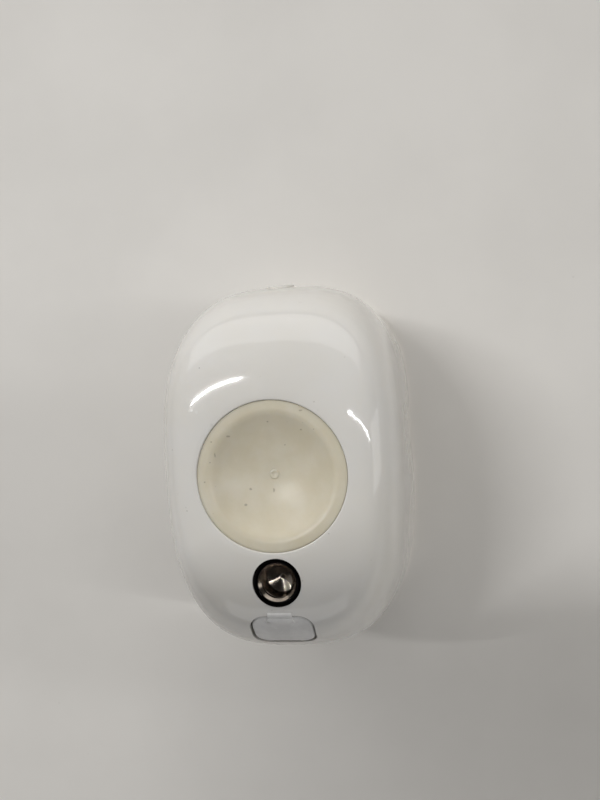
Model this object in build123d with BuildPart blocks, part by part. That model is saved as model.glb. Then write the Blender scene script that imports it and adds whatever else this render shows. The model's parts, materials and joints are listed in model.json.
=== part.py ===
from build123d import *
import math
import os

# Wireless security camera with a pull-off rear housing and a removable battery.
# Millimetres. +Z is up and the lens looks along -Y. The origin is on the mounting insert's
# axis, halfway along its thread. Depths ("deep") are measured back from the front face and
# heights ("up") from the front face's middle.

os.makedirs("parts", exist_ok=True)

# Overall form
width = 48.6
height = 79.3
depth = 70.5
side_power = 8.0
top_power = 3.44
base_power = 7.26
front_power = 3.59
rear_power = 2.80
rear_rise = 6.8
wall = 2.2
seam = 8.0
seam_gap = 0.1
section_points = 24
reaches = (0.0, 0.25, 0.5, 0.68, 0.8, 0.87, 0.92, 0.955, 0.978, 0.992, 0.9995)

# Fits
slide_clearance = 0.15
seat_clearance = 0.1
rubber_clearance = 0.3

# Magnetic bowl in the rear
bowl_up = 1.45
bowl_radius = 14.6
bowl_rim_deep = 70.15
bowl_mouth_radius = 12.2
bowl_dish = 4.4
bowl_floor = 1.35
bowl_edge = 0.15
bowl_clearance = 0.04
bowl_hole_edge = 0.3
bowl_mouth_round = 2.5
magnet_plate_thickness = 1.2
magnet_plate_radius = 12.5
cup_wall = 1.6
cup_floor = 1.2

# Threaded mounting insert, 1/4 inch, 20 turns to the inch
insert_up = -18.95
insert_radius = 4.75
insert_face_deep = 69.5
insert_length = 7.5
thread_radius = 3.175
thread_mouth_radius = 3.7
thread_floor = 2.2
drill_point = 0.85
boss_wall = 1.55
boss_floor = 1.2

# Inlet under its flap, on the slope below the insert
inlet_deep = 65.1
inlet_up = -29.5
inlet_tilt = 45.0
pocket_half_width = 6.3
pocket_length = 9.9
pocket_corner = 3.2
pocket_sink = 1.7
pocket_backing = 1.5
flap_sink = 0.12
flap_thickness = 1.35
flap_shoulder = 0.5
strap_rise = 0.35
strap_round = 0.25
strap_top_half = 2.35
strap_low_half = 2.9
strap_length = 1.3
strap_root_length = 0.9
strap_root_sink = 1.0
nail_notch_width = 5.5
nail_notch_height = 0.6
plug_half_width = 3.4
plug_half_height = 1.3
plug_length = 1.0
plug_drop = 0.25
tunnel_half_width = 4.0
tunnel_half_height = 1.7
port_up = -28.3

# Top button
sync_deep = 50.0
sync_radius = 2.9
sync_rise = 0.4
sync_flange_radius = 3.6
sync_flange_up = 36.3
sync_flange_thickness = 0.8
sync_stem_radius = 1.5
sync_stem_length = 2.0
sync_travel = 0.4
switch_width = 6.0
switch_height = 1.0
plunger_radius = 1.0
plunger_height = 0.3
small_board = 0.8

# Front frame and what it holds
front_round = 2.5
window_inset = 3.0
window_sink = 0.05
window_thickness = 1.1
adhesive = 0.2
front_plate = 1.65
ring_wall = 3.95
tongue_deep = 12.0
gasket_inset = 0.9
gasket_width = 1.2
gasket_depth = 0.9
lens_up = 12.0
lens_window_radius = 8.5
bezel_radius = 10.5
bezel_mouth_radius = 7.8
bezel_throat_radius = 4.7
bezel_cone = 3.65
bezel_end = 9.0
shoulder_radius = 12.0
shoulder_deep = 6.0
cover_glass = 1.0
barrel_nose_radius = 4.5
barrel_nose_deep = 4.2
barrel_radius = 6.0
barrel_start = 9.3
barrel_end = 18.0
barrel_bore = 2.7
front_lens_radius = 3.7
front_lens_thickness = 1.6
rear_lens_radius = 3.2
rear_lens_thickness = 1.5
led_ring_radius = 13.2
led_count = 4
led_size = 3.2
led_height = 2.0
led_hole_radius = 2.0
led_board_outer = 15.6
led_board_thickness = 0.8
pir_up = -22.0
pir_radius = 5.6
pir_flange_radius = 6.8
pir_flange = 0.8
pir_crown = 1.6
pir_skin = 0.7
pir_can_radius = 4.6
pir_can_height = 4.2
pir_board_deep = 11.2
pir_board_width = 24.0
pir_board_height = 15.0
pir_board_thickness = 1.0
ear_x = 9.0
ear_up = -26.0
ear_radius = 0.6
ear_boot_radius = 2.0
pipe_up = 30.0
pipe_radius = 1.0
pipe_seat = 0.1

# Boards behind the lens
holder_width = 26.0
holder_height = 16.0
holder_start = 18.0
holder_depth = 5.0
holder_tube_wall = 1.6
holder_tube_start = 12.0
filter_travel = 5.6
filter_width = 13.5
filter_height = 8.0
filter_thickness = 1.0
filter_start = 19.6
filter_aperture = 2.4
filter_pane = 0.4
filter_clearance = 0.1
light_passage = 3.0
sensor_size = 7.0
sensor_thickness = 1.0
sensor_board_width = 28.0
sensor_board_height = 18.0
sensor_board_thickness = 1.0
sensor_screw_x = 11.5
coil_width = 5.0
coil_height = 6.0
coil_depth = 4.0
main_board_deep = 26.0
main_board_thickness = 1.2
main_board_width = 34.0
main_board_low = -29.5
main_board_high = 28.5
chip_size = 10.0
chip_thickness = 1.1
chip_up = -5.0
pad_thickness = 0.6
heat_plate_width = 24.0
heat_plate_height = 15.0
heat_plate_thickness = 1.2
can_height = 2.0
led_chip = 1.6
led_chip_height = 0.8

# Chassis and battery
battery_width = 34.0
battery_height = 50.0
battery_depth = 24.4
battery_up = 2.0
battery_corner = 6.0
battery_edge = 1.2
bay_clearance = 0.3
bay_wall = 1.2
bay_end = 55.5
chassis_deep = 30.5
chassis_wall = 1.5
chassis_half_width = 19.0
chassis_low = -32.6
chassis_high = 33.6
chassis_corner = 9.0
post_radius = 2.2
post_start = 14.1
post_boss_radius = 2.6
post_spots = ((-11.0, 31.2), (11.0, 31.2), (-15.0, -27.6), (15.0, -27.6))
stud_spots = ((-12.0, 20.0), (12.0, 20.0), (-12.0, -14.0), (12.0, -14.0))
stud_radius = 1.9
case_screw_radius = 1.1
case_screw_head = 1.9
case_screw_head_height = 1.3
case_screw_bite = 5.0
board_screw_radius = 0.8
board_screw_head = 1.5
board_screw_head_height = 0.8
contact_pitch = 4.0
contact_count = 4
contact_up = -20.0
contact_radius = 0.6
contact_gap = 0.1
terminal_width = 2.4
terminal_height = 3.0
terminal_thickness = 0.4

# Inlet board
port_width = 7.6
port_height = 2.6
port_end = 60.6
port_depth = 5.2
port_shell = 0.3
tongue_width = 3.8
tongue_height = 0.7
inlet_board_half_width = 6.0
inlet_rib = 1.0

# Aerials
aerial_thickness = 0.8
aerial_up = 2.0
aerial_height = 24.0
aerial_start = 38.0
aerial_length = 10.0
coax_radius = 0.5
coax_up = 10.0
coax_plug = 2.4
coax_plug_height = 1.2
coax_bend = 1.2

# Speaker
speaker_width = 18.0
speaker_length = 10.0
speaker_height = 3.2
speaker_deep = 23.5
speaker_bracket = 1.2
speaker_foam = 0.4
foam_width = 1.2
sound_hole_radius = 0.6
sound_hole_pitch = 2.4
wire_radius = 0.45
wire_bend = 0.8
wire_reach = 2.5

# Release latch in the base
latch_half_width = 5.7
latch_start = 8.3
latch_length = 5.0
latch_clearance = 0.3
latch_ear_width = 1.3
latch_ear_length = 2.8
latch_ear_height = 0.8
latch_ear_rest = 0.05
latch_arm_end = 16.5
latch_arm_height = 1.0
latch_arm_half = 3.0
catch_start = 15.0
catch_sink = 0.8
bridge_start = 8.6
bridge_length = 4.6
bridge_wall = 1.2
bridge_roof = 1.0
bridge_top = -30.4
spring_radius = 1.4
spring_wire = 0.3
spring_turns = 5

# Thread in the insert, between its floor and its conical mouth
thread_start = insert_face_deep - insert_length + thread_floor
thread_end = insert_face_deep - (thread_mouth_radius - thread_radius)


def spot(x, deep, up):
    """The point at one side, depth and height."""
    return (x, deep - (thread_start + thread_end) / 2, up - insert_up)


def facing_back(deep, x=0.0, up=0.0):
    """A plane square to Y at one depth, seen from behind, so its own x runs to -X."""
    return Plane(origin=spot(x, deep, up), x_dir=(-1, 0, 0), z_dir=(0, 1, 0))


def level(up, deep, x=0.0):
    """A level plane at one height, its own x along +X and its own y along +Y."""
    return Plane(origin=spot(x, deep, up), x_dir=(1, 0, 0), z_dir=(0, 0, 1))


def oval(half_width, half_top, half_low, power, rise=0.0):
    """Points round a closed section that is squarer than an ellipse."""
    points = []
    for count in range(section_points):
        turn = 2 * math.pi * count / section_points
        across, along = math.cos(turn), math.sin(turn)
        half = half_top if along > 0 else half_low
        x = half_width * math.copysign(abs(across) ** (2 / power), across)
        y = half * math.copysign(abs(along) ** (2 / power), along)
        points.append((x, y + rise))
    return points


def front_outline(inset):
    """Points round the front face, drawn in by one distance."""
    half = height / 2 - inset
    return oval(width / 2 - inset, half, half, front_power)


def section(reach, inset):
    """Points round the rear form: reach is 0 at the seam and 1 at the rearmost point."""
    side = (1 - reach**side_power) ** (1 / side_power)
    top = (1 - reach**top_power) ** (1 / top_power)
    low = (1 - reach**base_power) ** (1 / base_power)
    power = front_power + (rear_power - front_power) * reach
    half = height / 2 - inset
    return oval((width / 2 - inset) * side, half * top, half * low, power, rear_rise * reach**2)


def rear_form(inset):
    """The smooth solid of the rear housing, drawn in by one distance."""
    with BuildPart() as form:
        for reach in reaches:
            with BuildSketch(facing_back(seam + (depth - inset - seam) * reach)):
                with BuildLine():
                    Spline(*section(reach, inset), periodic=True)
                make_face()
        loft()
    return form.part


def front_slab(inset, start, end):
    """A slab with the front face's outline, drawn in by one distance, between two depths."""
    with BuildPart() as slab:
        with BuildSketch(facing_back(start)):
            with BuildLine():
                Spline(*front_outline(inset), periodic=True)
            make_face()
        extrude(amount=end - start)
    return slab.part


def rods(radius, start, end, spots):
    """Round rods along Y between two depths, one at each (x, up) spot."""
    with BuildPart() as group:
        with BuildSketch(facing_back(start)):
            with Locations(*[(-x, up) for x, up in spots]):
                Circle(radius)
        extrude(amount=end - start)
    return group.part


def block(across, deep, up):
    """A plain block between two sides, two depths and two heights."""
    with BuildPart() as solid:
        with BuildSketch(level(up[0], sum(deep) / 2, sum(across) / 2)):
            Rectangle(across[1] - across[0], deep[1] - deep[0])
        extrude(amount=up[1] - up[0])
    return solid.part


def rounded_slab(half_width, low, high, corner, start, end):
    """A slab square to Y with rounded corners, between two heights and two depths."""
    with BuildPart() as slab:
        with BuildSketch(facing_back(start, up=(low + high) / 2)):
            RectangleRounded(2 * half_width, high - low, corner)
        extrude(amount=end - start)
    return slab.part


def wire_along(points, radius, bend):
    """A round wire along straight runs joined by arcs, through (x, deep, up) points."""
    with BuildPart() as wire:
        with BuildLine() as path:
            FilletPolyline(*[spot(*point) for point in points], radius=bend)
        with BuildSketch(Plane(origin=path.line @ 0, z_dir=path.line % 0)):
            Circle(radius)
        sweep()
    return wire.part


# Inlet planes: the slope's own y runs up and back, and its z points out
slope_out = (0, math.cos(math.radians(inlet_tilt)), -math.sin(math.radians(inlet_tilt)))
slope = Plane(origin=spot(0, inlet_deep, inlet_up), x_dir=(-1, 0, 0), z_dir=slope_out)
slope_reach = 4.0


def on_slope(outline):
    """A prism through the shell, square to the inlet's slope, from points or a rounded pocket."""
    with BuildPart() as prism:
        with BuildSketch(slope.offset(-slope_reach)):
            if isinstance(outline, tuple):
                RectangleRounded(*outline)
            else:
                with BuildLine():
                    Polyline(*outline, close=True)
                make_face()
        extrude(amount=2 * slope_reach)
    return prism.part


# Shared forms of the rear housing
outer_form = rear_form(0)
inner_form = rear_form(wall)
pocket_floor_form = rear_form(pocket_sink)
pocket_back_form = rear_form(pocket_sink + pocket_backing)
flap_face_form = rear_form(flap_sink)
flap_back_form = rear_form(flap_sink + flap_thickness)
strap_face_form = rear_form(-strap_rise)
strap_seat_form = rear_form(strap_root_sink)

hinge_y = pocket_length / 2
pocket_outline = (2 * pocket_half_width, pocket_length, pocket_corner)
flap_half_width = pocket_half_width - rubber_clearance
flap_length = pocket_length - 2 * rubber_clearance
flap_outline = (2 * flap_half_width, flap_length, pocket_corner - rubber_clearance)
backing_outline = (2 * pocket_half_width + 2 * wall, pocket_length + 2 * wall, pocket_corner + wall)
pocket_prism = on_slope(pocket_outline)
backing_prism = on_slope(backing_outline)
strap_outline = [
    (-strap_low_half, hinge_y - strap_length),
    (strap_low_half, hinge_y - strap_length),
    (strap_top_half, hinge_y),
    (-strap_top_half, hinge_y),
]
root_outline = [
    (-strap_top_half, hinge_y),
    (strap_top_half, hinge_y),
    (strap_top_half, hinge_y + strap_root_length),
    (-strap_top_half, hinge_y + strap_root_length),
]
root_hole = on_slope(root_outline)

# Depths worked out from the sizes above
window_back = window_sink + window_thickness
plate_front = window_back + adhesive
plate_back = plate_front + front_plate
ring_back = seam - seam_gap
inside_radius = bowl_radius + cup_wall
cup_seat = bowl_rim_deep - bowl_dish - bowl_floor - magnet_plate_thickness
insert_seat = insert_face_deep - insert_length
main_board_back = main_board_deep + main_board_thickness
chassis_back = chassis_deep + chassis_wall
battery_start = chassis_back + contact_gap
bay_half_width = battery_width / 2 + bay_clearance + bay_wall
bay_low = battery_up - battery_height / 2 - bay_clearance - bay_wall
bay_high = battery_up + battery_height / 2 + bay_clearance + bay_wall
board_back = holder_start + holder_depth
pir_flange_back = plate_back + pir_flange
inner_base = wall - height / 2
tongue_low = inner_base + slide_clearance
tongue_high = ring_wall - height / 2
latch_deep = latch_start + latch_length / 2
flange_low = sync_flange_up - sync_flange_thickness
stem_low = flange_low - sync_stem_length
plunger_top = stem_low - sync_travel
switch_top = plunger_top - plunger_height
switch_seat = switch_top - switch_height
led_spots = [
    (
        led_ring_radius * math.cos(math.radians(45 + 360 * k / led_count)),
        lens_up + led_ring_radius * math.sin(math.radians(45 + 360 * k / led_count)),
    )
    for k in range(led_count)
]
pir_screw_spots = ((-ear_x, pir_up + 5.0), (ear_x, pir_up + 5.0))
contact_spots = [
    ((k - (contact_count - 1) / 2) * contact_pitch, contact_up) for k in range(contact_count)
]

# Rear housing: thin shell, bowl cup, insert boss, inlet pocket, button hole and latch notch
cup_boss = rods(inside_radius, cup_seat - cup_floor, insert_face_deep, [(0, bowl_up)])
bowl_hole = rods(bowl_radius, cup_seat, depth + 1, [(0, bowl_up)])
insert_boss = rods(
    insert_radius + boss_wall, insert_seat - boss_floor, insert_face_deep - 1, [(0, insert_up)]
) - bowl_hole
insert_hole = rods(insert_radius, insert_seat, depth + 1, [(0, insert_up)])
backing = (backing_prism & pocket_floor_form) - pocket_back_form
pocket = (pocket_prism & strap_face_form) - pocket_floor_form
root_cut = (root_hole & strap_face_form) - strap_seat_form
tunnel = block(
    (-tunnel_half_width, tunnel_half_width),
    (inlet_deep - 8, inlet_deep + 6),
    (port_up - tunnel_half_height, port_up + tunnel_half_height),
)
notch_half = latch_half_width + latch_clearance
notch_end = latch_start + latch_length + latch_clearance
latch_notch = block((-notch_half, notch_half), (seam - 1, notch_end), (-height, inner_base + 1))
catch = block(
    (-latch_arm_half - latch_clearance, latch_arm_half + latch_clearance),
    (catch_start, latch_arm_end + latch_clearance),
    (inner_base - catch_sink, inner_base + 1),
)

bowl_side, bowl_back, bowl_level = spot(0, bowl_rim_deep, bowl_up)
with BuildPart() as rear_housing:
    add(outer_form)
    add(inner_form, mode=Mode.SUBTRACT)
    add(cup_boss)
    add(bowl_hole, mode=Mode.SUBTRACT)
    middles = [(edge, edge @ 0.5) for edge in rear_housing.edges().filter_by(GeomType.BSPLINE)]
    rims = [
        edge
        for edge, middle in middles
        if middle.Y > bowl_back and math.hypot(middle.X, middle.Z - bowl_level) < bowl_radius + 0.1
    ]
    fillet(rims, bowl_hole_edge)
    add(insert_boss)
    add(backing)
    add(insert_hole, mode=Mode.SUBTRACT)
    add(pocket, mode=Mode.SUBTRACT)
    add(root_cut, mode=Mode.SUBTRACT)
    add(tunnel, mode=Mode.SUBTRACT)
    with BuildSketch(level(height / 4, sync_deep)):
        Circle(sync_radius + seat_clearance)
    extrude(amount=height, mode=Mode.SUBTRACT)
    with BuildSketch(level(-height, speaker_deep)):
        with GridLocations(sound_hole_pitch, sound_hole_pitch, 5, 3):
            Circle(sound_hole_radius)
    extrude(amount=height / 2 + 2 * wall, mode=Mode.SUBTRACT)
    add(latch_notch, mode=Mode.SUBTRACT)
    add(catch, mode=Mode.SUBTRACT)
rear_housing.part.label = "rear_housing"
export_step(rear_housing.part, "parts/rear_housing.step")

# Round steel plate that the mount's magnet pulls on, flat on the cup's floor
with BuildPart() as magnet_plate:
    with BuildSketch(facing_back(cup_seat, up=bowl_up)):
        Circle(magnet_plate_radius)
    extrude(amount=magnet_plate_thickness)
    chamfer(magnet_plate.edges(), 0.2)
magnet_plate.part.label = "magnet_plate"
export_step(magnet_plate.part, "parts/magnet_plate.step")

# Bowl: a short cylinder with a ball-shaped dish and a hollow for the steel plate
dish_radius = (bowl_mouth_radius**2 + bowl_dish**2) / (2 * bowl_dish)
dish_centre = spot(0, bowl_rim_deep - bowl_dish + dish_radius, bowl_up)
with BuildPart() as mount_bowl:
    with BuildSketch(facing_back(cup_seat, up=bowl_up)):
        Circle(bowl_radius - bowl_clearance)
    extrude(amount=bowl_rim_deep - cup_seat)
    fillet(mount_bowl.faces().sort_by(Axis.Y)[-1].edges(), bowl_edge)
    with Locations(dish_centre):
        Sphere(dish_radius, mode=Mode.SUBTRACT)
    rings = mount_bowl.edges().filter_by(GeomType.CIRCLE)
    fillet([ring for ring in rings if abs(ring.radius - bowl_mouth_radius) < 0.01], bowl_mouth_round)
    with BuildSketch(facing_back(cup_seat, up=bowl_up)):
        Circle(magnet_plate_radius + seat_clearance)
    extrude(amount=magnet_plate_thickness, mode=Mode.SUBTRACT)
mount_bowl.part.label = "mount_bowl"
export_step(mount_bowl.part, "parts/mount_bowl.step")

# Threaded insert: blind bore with a conical mouth and a shallow drilled point
with BuildPart() as tripod_insert:
    with BuildSketch(facing_back(insert_seat, up=insert_up)):
        Circle(insert_radius)
    extrude(amount=insert_length)
    with BuildSketch(facing_back(insert_seat + thread_floor, up=insert_up)):
        Circle(thread_radius)
    extrude(amount=insert_length, mode=Mode.SUBTRACT)
    rim = tripod_insert.faces().sort_by(Axis.Y)[-1]
    chamfer(rim.inner_wires()[0].edges(), thread_mouth_radius - thread_radius)
    with Locations(facing_back(insert_seat + thread_floor - drill_point / 2, up=insert_up)):
        Cone(0, thread_radius, drill_point, mode=Mode.SUBTRACT)
tripod_insert.part.label = "tripod_insert"
export_step(tripod_insert.part, "parts/tripod_insert.step")

# Rubber flap: its face follows the shell, with a plug behind and a strap above
slope_way = Axis(slope.origin, slope_out)
notch_low = -flap_length / 2
flap_plate = (on_slope(flap_outline) & flap_face_form) - flap_back_form
with BuildPart() as strap:
    add((on_slope(strap_outline) & strap_face_form) - flap_back_form)
    fillet(strap.faces().sort_by(slope_way)[-1].edges(), strap_round)
plug_prism = on_slope(
    [
        (-plug_half_width, -plug_half_height - plug_drop),
        (plug_half_width, -plug_half_height - plug_drop),
        (plug_half_width, plug_half_height - plug_drop),
        (-plug_half_width, plug_half_height - plug_drop),
    ]
)
plug = (plug_prism & flap_back_form) - rear_form(flap_sink + flap_thickness + plug_length)
nail_notch = on_slope(
    [
        (-nail_notch_width / 2, notch_low - 1),
        (nail_notch_width / 2, notch_low - 1),
        (nail_notch_width / 2, notch_low + nail_notch_height),
        (-nail_notch_width / 2, notch_low + nail_notch_height),
    ]
)
with BuildPart() as usb_flap:
    add(flap_plate)
    fillet(usb_flap.faces().sort_by(slope_way)[-1].edges(), flap_shoulder)
    add(nail_notch, mode=Mode.SUBTRACT)
    add(strap.part)
    add(plug)
usb_flap.part.label = "usb_flap"
export_step(usb_flap.part, "parts/usb_flap.step")

# Fixed root of the flap's strap, held in a slot of the shell
with BuildPart() as usb_strap_root:
    add((root_hole & strap_face_form) - strap_seat_form)
    brow = usb_strap_root.faces().sort_by(slope_way)[-1].edges()
    fillet([edge for edge in brow if abs((edge @ 0.5).X) < strap_top_half / 2], strap_round)
usb_strap_root.part.label = "usb_strap_root"
export_step(usb_strap_root.part, "parts/usb_strap_root.step")

# Top button: crowned cap, retaining flange and stem
cap_column = rear_form(-sync_rise)
with BuildPart() as sync_button:
    with BuildSketch(level(flange_low, sync_deep)):
        Circle(sync_radius)
    extrude(amount=height / 4)
    add(cap_column, mode=Mode.INTERSECT)
    with BuildSketch(level(flange_low, sync_deep)):
        Circle(sync_flange_radius)
    extrude(amount=sync_flange_thickness)
    with BuildSketch(level(stem_low, sync_deep)):
        Circle(sync_stem_radius)
    extrude(amount=sync_stem_length)
sync_button.part.label = "sync_button"
export_step(sync_button.part, "parts/sync_button.step")

# Front frame: ring, plate behind the window, tongue, screw bosses and latch bridge
frame_blank = front_slab(0, 0, ring_back)
window_pocket = front_slab(window_inset, -1, plate_front)
frame_hollow = front_slab(ring_wall, plate_back, ring_back + 1)
tongue_outer = front_slab(wall + slide_clearance, ring_back - 1, tongue_deep)
tongue_inner = front_slab(ring_wall, plate_back, tongue_deep + 1)
gasket_groove = front_slab(gasket_inset, ring_back - gasket_depth, ring_back)
gasket_core = front_slab(gasket_inset + gasket_width, ring_back - gasket_depth, ring_back)
case_bosses = rods(post_boss_radius, plate_front, post_start, post_spots)
case_holes = rods(case_screw_radius, post_start - case_screw_bite, post_start, post_spots)
pir_bosses = rods(1.8, plate_front, pir_board_deep, pir_screw_spots)
pir_holes = rods(board_screw_radius, pir_board_deep - 3, pir_board_deep, pir_screw_spots)
bezel_hole = rods(bezel_radius + seat_clearance, 0, plate_back + 1, [(0, lens_up)])
pir_hole = rods(pir_radius + seat_clearance, 0, plate_back + 1, [(0, pir_up)])
led_holes = rods(led_hole_radius, 0, plate_back + 1, led_spots)
pipe_hole = rods(pipe_radius + seat_clearance, plate_front, plate_back + 1, [(0, pipe_up)])
ear_holes = rods(ear_radius, 0, plate_back + 1, [(-ear_x, ear_up), (ear_x, ear_up)])
ear_half = latch_half_width + latch_ear_width
bridge_inner = ear_half + latch_clearance
bridge_outer = bridge_inner + bridge_wall
bridge_deep = (bridge_start, bridge_start + bridge_length)
bridge_blank = block((-bridge_outer, bridge_outer), bridge_deep, (tongue_low + 0.5, bridge_top))
bridge_room = block(
    (-bridge_inner, bridge_inner),
    (bridge_deep[0] - 1, bridge_deep[1] + 1),
    (tongue_high, bridge_top - bridge_roof),
)
latch_well = block((-notch_half, notch_half), (ring_back, notch_end), (-height, tongue_high + 1))
with BuildPart() as front_frame:
    add(frame_blank)
    fillet(front_frame.faces().sort_by(Axis.Y)[0].edges(), front_round)
    add(window_pocket, mode=Mode.SUBTRACT)
    add(frame_hollow, mode=Mode.SUBTRACT)
    add(tongue_outer - tongue_inner)
    add(gasket_groove - gasket_core, mode=Mode.SUBTRACT)
    add(case_bosses)
    add(pir_bosses)
    add(case_holes, mode=Mode.SUBTRACT)
    add(pir_holes, mode=Mode.SUBTRACT)
    add(bezel_hole, mode=Mode.SUBTRACT)
    add(pir_hole, mode=Mode.SUBTRACT)
    add(led_holes, mode=Mode.SUBTRACT)
    add(pipe_hole, mode=Mode.SUBTRACT)
    add(ear_holes, mode=Mode.SUBTRACT)
    add(bridge_blank - bridge_room)
    add(latch_well, mode=Mode.SUBTRACT)
front_frame.part.label = "front_frame"
export_step(front_frame.part, "parts/front_frame.step")

# Sealing cord in the frame's rear face
with BuildPart() as seam_gasket:
    add(gasket_groove - gasket_core)
seam_gasket.part.label = "seam_gasket"
export_step(seam_gasket.part, "parts/seam_gasket.step")

# Black face plate, with the lens and motion sensor openings
with BuildPart() as front_window:
    add(front_slab(window_inset + seat_clearance, window_sink, window_back))
    add(rods(lens_window_radius, -1, plate_front, [(0, lens_up)]), mode=Mode.SUBTRACT)
    add(pir_hole, mode=Mode.SUBTRACT)
    add(rods(ear_radius, -1, plate_front, [(-ear_x, ear_up)]), mode=Mode.SUBTRACT)
front_window.part.label = "front_window"
export_step(front_window.part, "parts/front_window.step")

# Adhesive ring between the face plate and the frame
with BuildPart() as window_adhesive:
    add(front_slab(window_inset + seat_clearance, window_back, plate_front))
    add(front_slab(window_inset + 2.5, 0, plate_back), mode=Mode.SUBTRACT)
window_adhesive.part.label = "window_adhesive"
export_step(window_adhesive.part, "parts/window_adhesive.step")

# Lens bezel: a stepped tube with a conical mouth
with BuildPart() as lens_bezel:
    with BuildSketch(facing_back(window_back, up=lens_up)):
        Circle(bezel_radius)
    extrude(amount=bezel_end - window_back)
    with BuildSketch(facing_back(shoulder_deep, up=lens_up)):
        Circle(shoulder_radius)
    extrude(amount=1)
    with BuildSketch(facing_back(window_back, up=lens_up)):
        Circle(bezel_throat_radius)
    extrude(amount=bezel_end, mode=Mode.SUBTRACT)
    with BuildSketch(facing_back(window_back, up=lens_up)):
        Circle(bezel_mouth_radius)
    with BuildSketch(facing_back(window_back + bezel_cone, up=lens_up)):
        Circle(bezel_throat_radius)
    loft(mode=Mode.SUBTRACT)
lens_bezel.part.label = "lens_bezel"
export_step(lens_bezel.part, "parts/lens_bezel.step")

# Clear cover over the lens, seated on the bezel
with BuildPart() as lens_cover:
    with BuildSketch(facing_back(window_back - cover_glass, up=lens_up)):
        Circle(lens_window_radius - seat_clearance)
    extrude(amount=cover_glass)
lens_cover.part.label = "lens_cover"
export_step(lens_cover.part, "parts/lens_cover.step")

# Lens barrel: narrow nose, threaded body and stepped bore
with BuildPart() as lens_barrel:
    with BuildSketch(facing_back(barrel_nose_deep, up=lens_up)):
        Circle(barrel_nose_radius)
    extrude(amount=barrel_start - barrel_nose_deep)
    with BuildSketch(facing_back(barrel_start, up=lens_up)):
        Circle(barrel_radius)
    extrude(amount=barrel_end - barrel_start)
    with BuildSketch(facing_back(barrel_nose_deep - 1, up=lens_up)):
        Circle(barrel_bore)
    extrude(amount=barrel_end, mode=Mode.SUBTRACT)
    with BuildSketch(facing_back(barrel_nose_deep, up=lens_up)):
        Circle(front_lens_radius)
    extrude(amount=front_lens_thickness, mode=Mode.SUBTRACT)
    with BuildSketch(facing_back(barrel_end - rear_lens_thickness, up=lens_up)):
        Circle(rear_lens_radius)
    extrude(amount=rear_lens_thickness, mode=Mode.SUBTRACT)
lens_barrel.part.label = "lens_barrel"
export_step(lens_barrel.part, "parts/lens_barrel.step")

# Front and rear lens elements, the front one domed
with BuildPart() as front_lens:
    with BuildSketch(facing_back(barrel_nose_deep, up=lens_up)):
        Circle(front_lens_radius)
    extrude(amount=front_lens_thickness)
    fillet(front_lens.edges().sort_by(Axis.Y)[0], front_lens_thickness * 0.8)
front_lens.part.label = "front_lens"
export_step(front_lens.part, "parts/front_lens.step")

with BuildPart() as rear_lens:
    with BuildSketch(facing_back(barrel_end - rear_lens_thickness, up=lens_up)):
        Circle(rear_lens_radius)
    extrude(amount=rear_lens_thickness)
rear_lens.part.label = "rear_lens"
export_step(rear_lens.part, "parts/rear_lens.step")

# Lens holder: tube over a flat box with the filter's slot and the sensor's window
filter_back = filter_start + filter_thickness
slot_half = (filter_width + filter_travel) / 2 + filter_clearance
holder_slot = block(
    (-slot_half, slot_half),
    (filter_start - filter_clearance, filter_back + filter_clearance),
    (lens_up - filter_height / 2 - filter_clearance, lens_up + filter_height / 2 + filter_clearance),
)
sensor_room = block(
    (-sensor_size / 2 - 0.5, sensor_size / 2 + 0.5),
    (board_back - sensor_thickness - 0.4, board_back + 1),
    (lens_up - sensor_size / 2 - 0.5, lens_up + sensor_size / 2 + 0.5),
)
sensor_screw_spots = ((-sensor_screw_x, lens_up), (sensor_screw_x, lens_up))
sensor_board_back = board_back + sensor_board_thickness
with BuildPart() as lens_holder:
    with BuildSketch(facing_back(holder_start, up=lens_up)):
        Rectangle(holder_width, holder_height)
    extrude(amount=holder_depth)
    with BuildSketch(facing_back(holder_tube_start, up=lens_up)):
        Circle(barrel_radius + holder_tube_wall)
    extrude(amount=holder_start - holder_tube_start)
    with BuildSketch(facing_back(holder_tube_start, up=lens_up)):
        Circle(barrel_radius)
    extrude(amount=barrel_end - holder_tube_start, mode=Mode.SUBTRACT)
    with BuildSketch(facing_back(holder_tube_start, up=lens_up)):
        Circle(light_passage)
    extrude(amount=holder_start, mode=Mode.SUBTRACT)
    add(holder_slot, mode=Mode.SUBTRACT)
    add(sensor_room, mode=Mode.SUBTRACT)
    add(rods(board_screw_radius, board_back - 1.6, board_back, sensor_screw_spots), mode=Mode.SUBTRACT)
lens_holder.part.label = "lens_holder"
export_step(lens_holder.part, "parts/lens_holder.step")

# Sliding filter frame with two openings, and the pane in each
filter_spots = ((0, lens_up), (-filter_travel, lens_up))
with BuildPart() as filter_frame:
    with BuildSketch(facing_back(filter_start, x=-filter_travel / 2, up=lens_up)):
        Rectangle(filter_width, filter_height)
    extrude(amount=filter_thickness)
    add(rods(filter_aperture, filter_start - 1, filter_back + 1, filter_spots), mode=Mode.SUBTRACT)
filter_frame.part.label = "filter_frame"
export_step(filter_frame.part, "parts/filter_frame.step")

pane_start = filter_start + (filter_thickness - filter_pane) / 2
with BuildPart() as filter_panes:
    add(rods(filter_aperture, pane_start, pane_start + filter_pane, filter_spots))
filter_panes.part.label = "filter_panes"
export_step(filter_panes.part, "parts/filter_panes.step")

# Coil that moves the filter frame, on the holder's side
with BuildPart() as filter_coil:
    with BuildSketch(facing_back(holder_start + 0.5, x=(holder_width + coil_width) / 2, up=lens_up)):
        Rectangle(coil_width, coil_height)
    extrude(amount=coil_depth)
filter_coil.part.label = "filter_coil"
export_step(filter_coil.part, "parts/filter_coil.step")

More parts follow.
